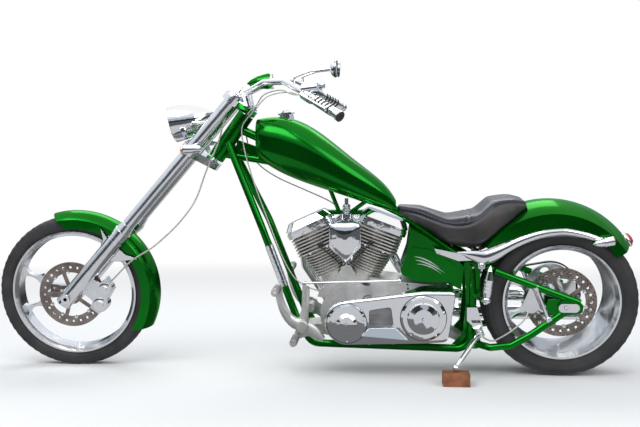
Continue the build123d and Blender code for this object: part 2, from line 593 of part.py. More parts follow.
# The strut's outline in the side view, ahead of and above the rear axle.
STRUT = [(530, 235), (430, 215), (345, 220), (262, 253), (181, 287), (81, 315), (0, 321), (-100, 300), (-166, 273),
         (-156, 259), (-98, 277), (0, 287), (80, 281), (181, 255), (262, 221), (322, 197), (322, 151), (348, 151),
         (352, 187), (430, 183), (520, 215)]
struts = {}
for side, name in ((1, "left"), (-1, "right")):
    with BuildPart() as strut:
        y_low, y_high = sorted((side * ARCH_HALF, side * (ARCH_HALF + STRUT_T)))
        slab([from_rear(*spot) for spot in STRUT], y_low, y_high)
        rod((336, side * 96, 490), (336, side * ARCH_HALF, 490), 11)
        rod((0, side * (ARCH_HALF - 4), REAR_R + 300), (0, side * ARCH_HALF, REAR_R + 300), 12)
    struts[name] = strut

signals = {}
for side, name in ((1, "left"), (-1, "right")):
    with BuildPart() as signal:
        turned((-105, side * (ARCH_HALF + 30), REAR_R + 257), (-1, 0, 0.16),
               [(0, 0), (14, 10), (34, 16), (70, 19), (84, 19), (84, 16), (88, 0)])
        rod((-140, side * (ARCH_HALF + STRUT_T), REAR_R + 267), (-140, side * (ARCH_HALF + 26), REAR_R + 263), 7)
    signals[name] = signal

with BuildPart() as tail_light:
    turned(ARCH + unit((-0.843, 0, 0.538)) * (ARCH_R - 12), (-0.843, 0, 0.538),
           [(0, 0), (0, 30), (22, 30), (34, 20), (38, 0)])

# Rear end: swingarm, axle, belt, caliper.
with BuildPart() as swingarm:
    for side in (1, -1):
        y = side * ARM_Y
        rod((285, y, 470), (-60, y, REAR_R + 15), ARM_R)
        pipe([(285, y, 470), (316, side * 150, 482), (345, side * 60, 490)], [20], ARM_R)
        pipe([(-40, y, REAR_R + 5), (129, y, 208), (214, y, 158), (300, y, 148), (345, side * 150, 150)],
             [60, 60, 20], ARM_R)
        rod((119, y, 410), (60, y, 262), 9)
        plate([from_rear(*spot) for spot in ((70, 27), (70, -25), (20, -41), (-70, -25), (-74, 5), (-40, 41))], 7,
              y - 8, y + 8)
        rod((0, y - ARM_BOSS, REAR_R), (0, y + ARM_BOSS, REAR_R), 30)
    rod((345, -64, 490), (345, 64, 490), ARM_R)
    rod((345, -150, 150), (345, 150, 150), ARM_R)
    rod((0, -250, REAR_R), (0, 250, REAR_R), AXLE_R, Mode.SUBTRACT)
with BuildPart() as rear_axle:
    rod((0, -ARM_Y - 18, REAR_R), (0, ARM_Y + 18, REAR_R), AXLE_R)
    for side in (1, -1):
        with BuildSketch(side_plane(max(side * (ARM_Y + ARM_BOSS), side * (ARM_Y + ARM_BOSS + 12)))) as oval:
            with Locations((-12, REAR_R - 1)):
                SlotOverall(84, 36)
        extrude(oval.sketch, amount=12)
    rod((0, -ARM_Y - 30, REAR_R), (0, ARM_Y + 30, REAR_R), AXLE_BORE_R, Mode.SUBTRACT)

with BuildPart() as drive_belt:
    with BuildSketch(side_plane(BELT_Y + BELT_W / 2 - 1)) as outer_loop:
        with Locations((0, REAR_R)):
            Circle(PULLEY_R + 5 + BELT_T)
        with Locations(OUTPUT):
            Circle(OUTPUT_R + 1 + BELT_T)
        make_hull()
    extrude(outer_loop.sketch, amount=BELT_W - 2)
    with BuildSketch(side_plane(BELT_Y + BELT_W / 2)) as inner_loop:
        with Locations((0, REAR_R)):
            Circle(PULLEY_R + 5)
        with Locations(OUTPUT):
            Circle(OUTPUT_R + 1)
        make_hull()
    extrude(inner_loop.sketch, amount=BELT_W, mode=Mode.SUBTRACT)
with BuildPart() as rear_caliper:
    for beyond, deg in ((-32, 24.3), (-18, -3.1)):
        spot = from_rear(*polar(DISC_R + beyond, deg))
        rod(across(spot, REAR_DISC_Y - 21), across(spot, REAR_DISC_Y + 33), 34)
    slab([from_rear(*polar(DISC_R + beyond, deg)) for beyond, deg in
          ((-36, 43), (5, 30.6), (14, 1.8), (-1, -15.6), (-53, -15.5))], REAR_DISC_Y - 21, REAR_DISC_Y + 33)
    slab([from_rear(*spot) for spot in ((28, -25), (28, 25), (120, 45), (130, -25))], REAR_DISC_Y + 17,
         REAR_DISC_Y + 33)
    rod((0, REAR_DISC_Y + 17, REAR_R), (0, ARM_Y - ARM_BOSS, REAR_R), 30)
    rod((0, REAR_DISC_Y - DISC_T / 2 - PAD_GAP, REAR_R), (0, REAR_DISC_Y + DISC_T / 2 + PAD_GAP, REAR_R), DISC_R + 6,
        Mode.SUBTRACT)
    rod((0, 90, REAR_R), (0, 250, REAR_R), AXLE_R, Mode.SUBTRACT)

# Foot controls, pegs, side stand and the wooden block under its foot.
foot_controls = {}
for side, name in ((1, "left"), (-1, "right")):
    with BuildPart() as control:
        rod((1082, side * 112, 235), (1082, side * 214, 235), 20)
        pipe([(1087, side * 206, 235), (1120, side * 208, 250), (1165, side * 212, 330), (1180, side * 214, 408)], [20, 60], 8)
        rod((1180, side * 204, 400), (1180, side * 318, 400), 15)
        if side > 0:
            rod((1082, 196, 235), (1070, 200, 420), 8)
        rod((1108, side * 200, 190), (1108, side * 320, 190), 14)
        slab([(1070, 250), (1100, 240), (1122, 188), (1100, 176), (1060, 190)],
             min(side * 188, side * 200), max(side * 188, side * 200))
        rod((1110, side * 80, 240), (1050, side * 128, 140), RAIL_R, Mode.SUBTRACT)
    foot_controls[name] = control
with BuildPart() as shift_rod:
    rod((1068, 212, 420), (674, 212, 432), 4.5)
    ball((1068, 212, 420), 9)
    ball((674, 212, 432), 9)
    rod((674, 150, 432), (674, 212, 432), 6)
pegs = {}
for side, name in ((1, "left"), (-1, "right")):
    with BuildPart() as peg:
        rod((366, side * 106, 350), (330, side * 214, 352), 9)
        ball((320, side * 214, 352), 17)
        turned((319, side * 214, 366), (-0.12, 0, 1), [(0, 0), (0, 14), (20, 18), (70, 18), (110, 12), (134, 0)])
    pegs[name] = peg
pivot = Vector(*STAND_PIVOT)
stand_axis = unit(STAND_DOWN).cross(unit(STAND_UP)).normalized()


def stand_pin(t):
    return pivot + stand_axis * t


with BuildPart() as stand_bracket:
    slab([(392, 306), (350, 306), (326, 230), (326, 214), (356, 214), (392, 250)], 118, 148)
    slab([(372, 246), (335, 246), (335, 226), (372, 226)], 118, 172)
    rod((366, 112, 120), (366, 112, 300), RAIL_R, Mode.SUBTRACT)
    rod(stand_pin(STAND_HEAD + RUNNING_GAP), stand_pin(34), 15)
    rod(stand_pin(-STAND_HEAD - 3), stand_pin(30), STAND_PIN_R)

with BuildPart() as side_stand:
    foot = pivot + unit(STAND_DOWN) * STAND_LENGTH
    taper(pivot, foot, 12, 9)
    rod(stand_pin(-STAND_HEAD), stand_pin(STAND_HEAD), 17)
    ball(foot, FOOT_R)
    rod(stand_pin(-STAND_HEAD - 1), stand_pin(STAND_HEAD + 1), STAND_PIN_R + RUNNING_GAP, Mode.SUBTRACT)
with BuildPart() as wooden_block:
    Box(BLOCK_X, BLOCK_Y, BLOCK_Z, align=(Align.CENTER, Align.CENTER, Align.MAX))

# Cables run from each hand control through a guide on the upper clamp and part there, at a face
# square to the steering axis, from the runs that stay with the frame.
CABLES = [
    # side, drop under the bar, places on the way to the engine
    ("left", 0, [from_neck(-68, 56, -61), from_neck(-82, 60, -112), from_neck(-112, 70, -211), (1250, 80, 700),
                 (1170, 84, 480), (1100, 72, 372), (1004, 60, 350)]),
    ("right", 18, [from_neck(-75, -54, -97), from_neck(-165, -62, -177), (1080, -60, 780), (950, -56, 722),
                   (908, -60, 650), (896, -60, 600)]),
]
with BuildPart() as bar_cables:
    for name, drop, route in CABLES:
        side, guide = CABLE_SIDES[name].Y / 46, CABLE_SIDES[name]
        cord([from_neck(-326, side * 340, 184), from_neck(-293, side * 275, 179 - drop),
              from_neck(-245, side * 200, 205 - drop), from_neck(-158, side * 120, 184 - drop / 2),
              neck_point(190) + guide, neck_point(118) + guide], CABLE_R)
with BuildPart() as engine_cables:
    for name, drop, route in CABLES:
        guide = CABLE_SIDES[name]
        cord([neck_point(118 - RUNNING_GAP) + guide, neck_point(62) + guide] + route, CABLE_R)
with BuildPart() as front_brake_hose:
    hose_end = across(caliper_spot(20, 55), FRONT_DISC_Y + 20)
    cord([from_neck(-24, 90, 140), from_neck(18, 60, 77), from_neck(43, 62, -17), from_neck(103, 80, -144),
          from_neck(146, 100, -272), from_neck(232, 118, -378), from_neck(346, 118, -475),
          from_neck(437, 114, -524), hose_end], HOSE_R)
with BuildPart() as rear_brake_hose:
    cord([(358, 107, 205), (318, 134, 170), (284, 148, 160), (216, 166, 205), (150, 158, 262),
          across(from_rear(*polar(DISC_R - 18, -3.1)), REAR_DISC_Y + 20)], HOSE_R)

# Placing: steer the front end, then lean everything on the side stand.
lean_axis = Axis((0, 0, 0), (1, 0, 0))
steer_axis = Axis(NECK, NECK_DIR)


def steered(solid):
    return solid.rotate(steer_axis, STEER)


steered_axle = steered(Vertex(*FRONT_AXLE)).center()
steered_spin = steered(Vertex(*(FRONT_AXLE + Vector(0, 1, 0)))).center() - steered_axle


def leaned(solid):
    return solid.rotate(lean_axis, -LEAN)


front_tyre, front_rim, front_disc = (steered(p.moved(Location(FRONT_AXLE))) for p in wheel_parts["front"])
rear_tyre, rear_rim, rear_disc = (p.moved(Location(REAR_AXLE)) for p in wheel_parts["rear"])
with BuildPart() as arch_fill:
    with BuildSketch(Plane(ARCH, x_dir=(1, 0, 0), z_dir=(0, 0, 1))):
        with BuildLine():
            Line((0, ARCH_HALF), (ARCH_R - 46, ARCH_HALF))
            ThreePointArc((ARCH_R - 46, ARCH_HALF), (ARCH_R, 0), (ARCH_R - 46, -ARCH_HALF))
            Line((ARCH_R - 46, -ARCH_HALF), (0, -ARCH_HALF))
            Line((0, -ARCH_HALF), (0, ARCH_HALF))
        make_face()
    revolve(axis=Axis(ARCH, (0, -1, 0)))
low_front = leaned(front_tyre).bounding_box().min.Z
low_rear = leaned(rear_tyre).bounding_box().min.Z
pitch = math.degrees(math.asin((low_front - low_rear) / WHEELBASE))
settle_axis = Axis((0, 0, 0), (0, 1, 0))


def settled(solid):
    return leaned(solid).rotate(settle_axis, pitch)


drop = min(settled(front_tyre).bounding_box().min.Z, settled(rear_tyre).bounding_box().min.Z)
lift = Location((-WHEELBASE / 2, 0, -drop))


def placed(solid):
    return settled(solid).moved(lift)


def placed_point(p):
    return placed(Vertex(*Vector(*p))).center()


def placed_axis(v):
    return (placed_point(Vector(*v)) - placed_point((0, 0, 0))).normalized()


NODES = [
    # node name, solid, body
    ("frame", frame.part, "root"),
    ("engine_cases", engine_cases.part, "root"),
    ("front_cylinder", cylinders["front"].part, "root"),
    ("rear_cylinder", cylinders["rear"].part, "root"),
    ("front_rocker_cover", rockers["front"].part, "root"),
    ("rear_rocker_cover", rockers["rear"].part, "root"),
    ("primary_cover", primary_cover.part, "root"),
    ("air_cleaner", intake.part, "root"),
    ("horn_cover", horn_cover.part, "root"),
    ("front_exhaust", exhausts["front"].part, "root"),
    ("rear_exhaust", exhausts["rear"].part, "root"),
    ("oil_tank", oil_tank.part, "root"),
    ("fuel_tank", fuel_tank.part, "root"),
    ("fuel_cap", fuel_cap.part, "root"),
    ("seat", seat.part, "root"),
    ("rear_fender", rear_fender, "root"),
    ("left_fender_strut", struts["left"].part, "root"),
    ("right_fender_strut", struts["right"].part, "root"),
    ("left_turn_signal", signals["left"].part, "root"),
    ("right_turn_signal", signals["right"].part, "root"),
    ("tail_light", tail_light.part, "root"),
    ("swingarm", swingarm.part, "root"),
    ("rear_axle", rear_axle.part, "root"),
    ("drive_belt", drive_belt.part, "root"),
    ("rear_caliper", rear_caliper.part, "root"),
    ("left_foot_control", foot_controls["left"].part, "root"),
    ("right_foot_control", foot_controls["right"].part, "root"),
    ("shift_rod", shift_rod.part, "root"),
    ("left_passenger_peg", pegs["left"].part, "root"),
    ("right_passenger_peg", pegs["right"].part, "root"),
    ("stand_bracket", stand_bracket.part, "root"),
    ("fork_clamps", steered(clamps.part), "steering"),
    ("left_fork_leg", steered(legs["left"]), "steering"),
    ("right_fork_leg", steered(legs["right"]), "steering"),
    ("front_axle", steered(front_axle.part), "steering"),
    ("handlebar", steered(handlebar.part), "steering"),
    ("left_grip", steered(grips["left"]), "steering"),
    ("right_grip", steered(grips["right"]), "steering"),
    ("left_hand_control", steered(controls["left"]), "steering"),
    ("right_hand_control", steered(controls["right"]), "steering"),
    ("left_mirror", steered(mirrors["left"]), "steering"),
    ("right_mirror", steered(mirrors["right"]), "steering"),
    ("headlight", steered(headlight.part), "steering"),
    ("gauge", steered(gauge.part), "steering"),
    ("front_fender", steered(front_fender), "steering"),
    ("front_caliper", steered(front_caliper.part), "steering"),
    ("front_tyre", front_tyre, "front_wheel"),
    ("front_rim", front_rim, "front_wheel"),
    ("front_disc", front_disc, "front_wheel"),
    ("rear_tyre", rear_tyre, "rear_wheel"),
    ("rear_rim", rear_rim, "rear_wheel"),
    ("rear_disc", rear_disc, "rear_wheel"),
    ("rear_pulley", rear_pulley.part.moved(Location(REAR_AXLE)), "rear_wheel"),
    ("side_stand", side_stand.part, "side_stand"),
    ("bar_cables", steered(bar_cables.part), "steering"),
    ("front_brake_hose", steered(front_brake_hose.part), "steering"),
    ("engine_cables", engine_cables.part, "root"),
    ("rear_brake_hose", rear_brake_hose.part, "root"),
]
# Pieces that seat in one another: the first gives way to the others.
SEATED = [
    ("frame", ["front_rocker_cover", "rear_rocker_cover"]),
    ("engine_cases", ["front_cylinder", "rear_cylinder", "primary_cover", "frame"]),
    ("air_cleaner", ["front_cylinder", "rear_cylinder"]),
    ("horn_cover", ["front_cylinder", "rear_cylinder"]),
    ("front_exhaust", ["front_cylinder"]),
    ("rear_exhaust", ["rear_cylinder"]),
    ("fork_clamps", ["handlebar", "headlight"]),
    ("fuel_tank", ["frame", "fuel_cap"]),
    ("left_foot_control", ["frame"]),
    ("right_foot_control", ["frame"]),
    ("left_passenger_peg", ["frame"]),
    ("right_passenger_peg", ["frame"]),
    ("stand_bracket", ["frame"]),
    ("swingarm", ["frame"]),
    ("seat", ["frame"]),
    ("oil_tank", ["frame"]),
    ("left_mirror", ["handlebar"]),
    ("right_mirror", ["handlebar"]),
    ("left_fender_strut", ["swingarm", "frame"]),
    ("right_fender_strut", ["swingarm", "frame"]),
    ("left_turn_signal", ["left_fender_strut"]),
    ("right_turn_signal", ["right_fender_strut"]),
    ("shift_rod", ["left_foot_control"]),
    ("bar_cables", ["left_hand_control", "right_hand_control"]),
    ("front_brake_hose", ["fork_clamps", "front_caliper"]),
    ("engine_cables", ["engine_cases", "air_cleaner"]),
    ("rear_brake_hose", ["frame", "rear_caliper"]),
]
solids = {name: solid for name, solid, body in NODES}
for name in ("seat", "tail_light"):
    solids[name] = solids[name] - arch_fill.part
for name, others in SEATED:
    for other in others:
        solids[name] = solids[name] - solids[other]
foot_at = placed_point(pivot + unit(STAND_DOWN) * STAND_LENGTH)
block_top = foot_at.Z - FOOT_R - FOOT_GAP
out = {}
for name, solid in solids.items():
    out[name] = placed(solid)
out["wooden_block"] = wooden_block.part.moved(Location((foot_at.X, foot_at.Y + 10, block_top)))
whole = Compound(list(out.values())).bounding_box()
centring = Vector(-(whole.min.X + whole.max.X) / 2, -(whole.min.Y + whole.max.Y) / 2, 0)
for name, solid in list(out.items()):
    solid = solid.moved(Location(centring))
    out[name] = solid
    solid.label = name
    export_step(solid, f"parts/{name}.step")


def listed(v):
    return [round(v.X, 3), round(v.Y, 3), round(v.Z, 3)]


def final_point(p):
    return listed(placed_point(p) + centring)


facts = {
    "steer": [final_point(NECK), listed(placed_axis(NECK_DIR))],
    "front_spin": [final_point(steered_axle), listed(placed_axis(steered_spin))],
    "rear_spin": [final_point(REAR_AXLE), listed(placed_axis((0, 1, 0)))],
    "stand": [final_point(STAND_PIVOT), listed(placed_axis(unit(STAND_DOWN).cross(unit(STAND_UP))))],
    "block_top": block_top, "pitch": pitch, "drop": drop, "centring": listed(centring),
}
print(json.dumps(facts))
for name, solid in out.items():
    box = solid.bounding_box()
    print(name, len(solid.solids()), [round(v) for v in (*box.min, *box.max)], round(solid.volume / 1000))
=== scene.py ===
import json
import math

import bmesh
import bpy
from mathutils import Matrix, Vector
from mathutils.bvhtree import BVHTree


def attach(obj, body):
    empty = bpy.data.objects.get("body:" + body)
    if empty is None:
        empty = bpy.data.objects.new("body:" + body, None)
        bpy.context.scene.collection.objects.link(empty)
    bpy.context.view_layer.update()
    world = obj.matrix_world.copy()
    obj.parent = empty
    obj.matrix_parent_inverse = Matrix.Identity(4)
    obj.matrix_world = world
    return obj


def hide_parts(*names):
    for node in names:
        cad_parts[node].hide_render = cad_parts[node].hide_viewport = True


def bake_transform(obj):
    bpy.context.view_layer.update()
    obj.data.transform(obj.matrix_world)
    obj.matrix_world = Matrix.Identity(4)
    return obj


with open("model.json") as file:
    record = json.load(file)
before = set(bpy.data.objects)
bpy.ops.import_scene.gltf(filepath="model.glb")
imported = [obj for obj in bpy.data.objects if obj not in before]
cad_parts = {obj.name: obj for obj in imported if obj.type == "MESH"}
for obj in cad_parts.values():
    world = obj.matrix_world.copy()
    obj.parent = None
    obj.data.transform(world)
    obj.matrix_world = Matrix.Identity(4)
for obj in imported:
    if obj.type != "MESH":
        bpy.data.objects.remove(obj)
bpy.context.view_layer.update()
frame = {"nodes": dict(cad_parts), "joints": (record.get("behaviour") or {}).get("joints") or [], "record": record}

# %% [markdown]
# Everything on the machine is easiest to place as if it stood upright with its rear axle over
# X = 0 and the ground at Z = 0, in millimetres. The real one leans, and its front end is turned a
# little to the left. Two matrices take upright places to where the leaning machine has them. They
# are read from the joints, so a moved joint moves the details with it.
# %% Upright places to leaning places
WHEELBASE, REAR_R, FRONT_R = 2127, 325, 340
REAR_AXLE_AT, FRONT_AXLE_AT = Vector((0, 0, REAR_R)), Vector((WHEELBASE, 0, FRONT_R))
NECK_AT = Vector((1405, 0, 1027))
STEER = math.radians(3.5)
NECK_RAKE = math.radians(36.5)
joints = {joint["name"]: joint for joint in frame["joints"]}
rear_axle = Vector(joints["rear_wheel_spin"]["pos_m"])
front_axle = Vector(joints["front_wheel_spin"]["pos_m"])
side = Vector(joints["rear_wheel_spin"]["axis"]).normalized()
neck_back = Vector((-math.sin(NECK_RAKE), 0, math.cos(NECK_RAKE)))
steering_axis = Vector(joints["steering"]["axis"]).normalized()


def lean_matrix():
    """Upright metres to the row frame for all that leans with the rear of the machine."""
    tilt = side.rotation_difference(Vector((0, 1, 0))).inverted().to_matrix()
    roll = (tilt @ neck_back).rotation_difference(steering_axis).to_matrix()
    turn = (roll @ tilt).to_4x4()
    turn.translation = rear_axle - turn.to_3x3() @ (REAR_AXLE_AT / 1000)
    return turn


LEANING = lean_matrix()
neck = LEANING @ (NECK_AT / 1000)
turn_at_neck = Matrix.Rotation(STEER, 4, steering_axis)
STEERED = Matrix.Translation(neck) @ turn_at_neck @ Matrix.Translation(-neck) @ LEANING


def at(x, y, z, turned=False):
    """A place on the upright machine, in millimetres, as a place in the row frame."""
    return (STEERED if turned else LEANING) @ Vector((x / 1000, y / 1000, z / 1000))


print("front axle off by mm", (at(*FRONT_AXLE_AT, True) - front_axle).length * 1000)

# %% [markdown]
# The camera stands where the photographer stood: level, at the left of the machine, a little
# behind its middle. The lens length follows from how big the wheels look at their real size.
# %% Camera
CAMERA_FROM_REAR_AXLE = Vector((0.6799, 3.7127, 0.3635))
CAMERA_LOOKS = Vector((0.0924, -0.9957, -0.0021))
SENSOR_MM, PHOTO_PIXELS, FOCAL_PIXELS = 36, 640, 841.3

camera = bpy.data.objects.new("camera", bpy.data.cameras.new("camera"))
bpy.context.collection.objects.link(camera)
bpy.context.scene.camera = camera
camera.location = rear_axle + CAMERA_FROM_REAR_AXLE
camera.rotation_euler = CAMERA_LOOKS.to_track_quat("-Z", "Y").to_euler()
camera.data.sensor_width = SENSOR_MM
camera.data.lens = FOCAL_PIXELS * SENSOR_MM / PHOTO_PIXELS
print("lens mm", round(camera.data.lens, 1))

# %% [markdown]
# A studio for a chromed machine needs large soft lights, because chrome shows the room and not
# itself. Three lamps do that: a broad key, a weaker fill and one behind that draws the edges.
# %% Lamps of the studio
STUDIO_LAMPS = [
    # name, place, what it faces, width and height, watts
    ("key", (1.4, 3.2, 4.2), (0, 0, 0.5), (4.6, 2.6), 125),
    ("fill", (-3.2, 3.0, 2.6), (0, 0, 0.5), (2.4, 2.4), 45),
    ("back", (0.4, -3.2, 4.0), (0, 0, 0.6), (5.0, 2.2), 90),
]
for name, spot, target, size, watts in STUDIO_LAMPS:
    lamp = bpy.data.objects.new(name, bpy.data.lights.new(name, "AREA"))
    lamp.data.shape = "RECTANGLE"
    lamp.data.size, lamp.data.size_y = size
    lamp.data.energy = watts
    lamp.location = spot
    lamp.rotation_euler = (Vector(target) - Vector(spot)).to_track_quat("-Z", "Y").to_euler()
    bpy.context.collection.objects.link(lamp)
print("lamps", [lamp.name for lamp in bpy.data.lights])

# %% [markdown]
# The world is white for the camera, for glass and for mirrors alike, and a soft pale blue for all
# other light, so the background stays clean while the shadows keep the colour of a clear sky.
# %% World
world = bpy.data.worlds.new("studio")
bpy.context.scene.world = world
world.use_nodes = True
tree = world.node_tree
tree.nodes.clear()
soft = tree.nodes.new("ShaderNodeBackground")
soft.inputs["Color"].default_value = (0.80, 0.84, 0.90, 1)
soft.inputs["Strength"].default_value = 0.75
seen = tree.nodes.new("ShaderNodeBackground")
seen.inputs["Color"].default_value = (1, 1, 1, 1)
light_path = tree.nodes.new("ShaderNodeLightPath")
either = tree.nodes.new("ShaderNodeMath")
any_of = tree.nodes.new("ShaderNodeMath")
either.operation = any_of.operation = "MAXIMUM"
chooser = tree.nodes.new("ShaderNodeMixShader")
world_out = tree.nodes.new("ShaderNodeOutputWorld")
tree.links.new(light_path.outputs["Is Camera Ray"], either.inputs[0])
tree.links.new(light_path.outputs["Is Glossy Ray"], either.inputs[1])
tree.links.new(either.outputs[0], any_of.inputs[0])
tree.links.new(light_path.outputs["Is Transmission Ray"], any_of.inputs[1])
tree.links.new(any_of.outputs[0], chooser.inputs["Fac"])
tree.links.new(soft.outputs[0], chooser.inputs[1])
tree.links.new(seen.outputs[0], chooser.inputs[2])
tree.links.new(chooser.outputs[0], world_out.inputs[0])
bpy.context.scene.view_settings.view_transform = "Standard"
print("view transform", bpy.context.scene.view_settings.view_transform)

# %% [markdown]
# Outdoors, chrome gets its contrast from the ground and from the line of the horizon. Cards round
# the machine stand in for them: bright ground beside the wheels, dark ground further out, a dark
# hedge, haze and a low sky. Only mirrored rays find the cards: the camera, the shadows and the
# soft light pass them by.
# %% Cards that chrome mirrors
CARD_SIDES = 48
CARDS = [
    # name, inner and outer circle as radius and height, colour
    ("ground_under", (0.05, 0.001), (0.75, 0.001), (0.16, 0.165, 0.17)),
    ("ground_near", (0.75, 0.001), (2.3, 0.001), (0.56, 0.57, 0.59)),
    ("ground_far", (2.3, 0.001), (9.0, 0.001), (0.09, 0.095, 0.10)),
    ("hedge", (9.0, 0.001), (9.0, 1.5), (0.025, 0.03, 0.03)),
    ("haze", (9.0, 1.5), (9.0, 3.4), (0.42, 0.47, 0.53)),
    ("low_sky", (9.0, 3.4), (8.0, 6.5), (0.74, 0.78, 0.85)),
]


def glow(name, colour):
    material = bpy.data.materials.new(name)
    material.use_nodes = True
    nodes = material.node_tree.nodes
    nodes.clear()
    light = nodes.new("ShaderNodeEmission")
    light.inputs["Color"].default_value = (*colour, 1)
    result = nodes.new("ShaderNodeOutputMaterial")
    material.node_tree.links.new(light.outputs[0], result.inputs["Surface"])
    return material


def card(name, rings, colour):
    """A ring shaped card about the machine between two circles."""
    turns = [2 * math.pi * k / CARD_SIDES for k in range(CARD_SIDES)]
    verts = [(math.cos(turn) * radius, math.sin(turn) * radius, height)
             for radius, height in rings for turn in turns]
    pairs = [(k, (k + 1) % CARD_SIDES) for k in range(CARD_SIDES)]
    faces = [(k, n, CARD_SIDES + n, CARD_SIDES + k) for k, n in pairs]
    data = bpy.data.meshes.new(name)
    data.from_pydata(verts, [], faces)
    data.materials.append(glow(name, colour))
    made = bpy.data.objects.new(name, data)
    bpy.context.collection.objects.link(made)
    made.visible_camera = made.visible_diffuse = made.visible_shadow = made.visible_transmission = False


for name, inner, outer, colour in CARDS:
    card(name, (inner, outer), colour)
print("cards", len(CARDS))

# %% [markdown]
# Shader groups hold effects that several finishes share. Grain gives a fine height for cast or
# rubbed surfaces, and mottle a slow change of tone, as oil, dust and handling leave on a machine.
# Both are the same noise with more or less detail, spread from Low to High.
# %% Shader groups
NOISE_DARK, NOISE_LIGHT = 0.3, 0.7


def noise_group(name, detail):
    group = bpy.data.node_groups.new(name, "ShaderNodeTree")
    for label, default in (("Scale", 100.0), ("Low", 0.0), ("High", 1.0)):
        socket = group.interface.new_socket(label, in_out="INPUT", socket_type="NodeSocketFloat")
        socket.default_value = default
    group.interface.new_socket("Value", in_out="OUTPUT", socket_type="NodeSocketFloat")
    given = group.nodes.new("NodeGroupInput")
    result = group.nodes.new("NodeGroupOutput")
    place = group.nodes.new("ShaderNodeTexCoord")
    noise = group.nodes.new("ShaderNodeTexNoise")
    noise.inputs["Detail"].default_value = detail
    spread = group.nodes.new("ShaderNodeMapRange")
    spread.inputs["From Min"].default_value = NOISE_DARK
    spread.inputs["From Max"].default_value = NOISE_LIGHT
    group.links.new(place.outputs["Object"], noise.inputs["Vector"])
    group.links.new(given.outputs["Scale"], noise.inputs["Scale"])
    group.links.new(noise.outputs["Fac"], spread.inputs["Value"])
    group.links.new(given.outputs["Low"], spread.inputs["To Min"])
    group.links.new(given.outputs["High"], spread.inputs["To Max"])
    group.links.new(spread.outputs["Result"], result.inputs["Value"])
    return group


grain_group = noise_group("grain", 6.0)
mottle_group = noise_group("mottle", 3.0)
print("groups", [group.name for group in bpy.data.node_groups])

# %% [markdown]
# A finish is a material with one Principled shader and short ways to add the shared effects: a
# mottled roughness, a mix of two tones, and relief. A second relief lies over the first, as a slow
# wave under fine grain does on polished metal.
# %% How a finish is made
class Finish:
    """A material with a Principled shader and short ways to add shared effects."""

    def __init__(self, name, colour, metallic=0.0, roughness=0.5, coat=0.0):
        self.material = bpy.data.materials.new(name)
        self.material.use_nodes = True
        self.tree = self.material.node_tree
        self.shader = self.tree.nodes["Principled BSDF"]
        self.shader.inputs["Base Color"].default_value = (*colour, 1)
        self.shader.inputs["Metallic"].default_value = metallic
        self.shader.inputs["Roughness"].default_value = roughness
        self.shader.inputs["Coat Weight"].default_value = coat
        self.relief = None

    def effect(self, group, **values):
        node = self.tree.nodes.new("ShaderNodeGroup")
        node.node_tree = group
        for label, value in values.items():
            node.inputs[label].default_value = value
        return node.outputs["Value"]

    def tones(self, source, dark, light):
        mix = self.tree.nodes.new("ShaderNodeMix")
        mix.data_type = "RGBA"
        mix.inputs["A"].default_value = (*dark, 1)
        mix.inputs["B"].default_value = (*light, 1)
        self.tree.links.new(source, mix.inputs["Factor"])
        self.tree.links.new(mix.outputs["Result"], self.shader.inputs["Base Color"])

    def rough(self, source):
        self.tree.links.new(source, self.shader.inputs["Roughness"])

    def bump(self, source, strength, distance=0.001):
        bump = self.tree.nodes.new("ShaderNodeBump")
        bump.inputs["Strength"].default_value = strength
        bump.inputs["Distance"].default_value = distance
        self.tree.links.new(source, bump.inputs["Height"])
        if self.relief:
            self.tree.links.new(self.relief, bump.inputs["Normal"])
        self.relief = bump.outputs["Normal"]
        self.tree.links.new(self.relief, self.shader.inputs["Normal"])


finishes, slot_names = {}, {}
MOTTLE_SCALE = 9.0


def finish(name, colour, grain=(400, 0.03), rough=(0.1, 0.2), tones=None, slot=None, **kinds):
    """Grain is a scale and a strength; tones are dark, light and a scale; slot is the CAD slot it dresses."""
    made = Finish(name, colour, roughness=sum(rough) / 2, **kinds)
    made.rough(made.effect(mottle_group, Scale=MOTTLE_SCALE, Low=rough[0], High=rough[1]))
    if tones:
        made.tones(made.effect(mottle_group, Scale=tones[2], Low=0.0, High=1.0), tones[0], tones[1])
    if grain[1]:
        made.bump(made.effect(grain_group, Scale=grain[0]), grain[1])
    finishes[name] = made.material
    slot_names[name] = slot or name
    return made


# %% [markdown]
# Candy paint is a tinted clear coat over a bright metal base, so it is deep green in the shade and
# bright green where it turns to the light: a partly metallic green under a coat. Chrome is a clean
# metal, and real chrome is never quite flat, so a slow wave bends what it mirrors. The fins are
# bare cast aluminium, and the seat is black leather, brown at its sides, whose top is tinted blue
# as a painted sheen of the sky.
# %% Finishes of the large pieces
candy = finish("candy_green", (0.0, 0.19, 0.008), (900, 0.01), (0.17, 0.25),
               ((0.0, 0.13, 0.004), (0.0, 0.22, 0.01), 3.0), metallic=0.92, coat=0.22)
candy.shader.inputs["Specular Tint"].default_value = (0.10, 0.75, 0.30, 1)
chrome = finish("chrome", (0.92, 0.93, 0.95), (60, 0.012), (0.03, 0.08), metallic=1.0)
chrome.bump(chrome.effect(mottle_group, Scale=11.0), 1.0, 0.0006)
polished = finish("polished_aluminium", (0.88, 0.89, 0.91), (300, 0.02), (0.10, 0.18),
                  ((0.80, 0.81, 0.83), (0.93, 0.94, 0.96), 12.0), metallic=1.0)
polished.bump(polished.effect(mottle_group, Scale=9.0), 1.0, 0.0008)
finish("fin_aluminium", (0.66, 0.64, 0.60), (500, 0.12), (0.36, 0.50),
       ((0.54, 0.52, 0.49), (0.74, 0.72, 0.68), 14.0), metallic=0.7)
finish("cast_aluminium", (0.68, 0.67, 0.64), (420, 0.16), (0.30, 0.44),
       ((0.56, 0.55, 0.53), (0.78, 0.77, 0.74), 16.0), slot="fin_aluminium", metallic=0.8)
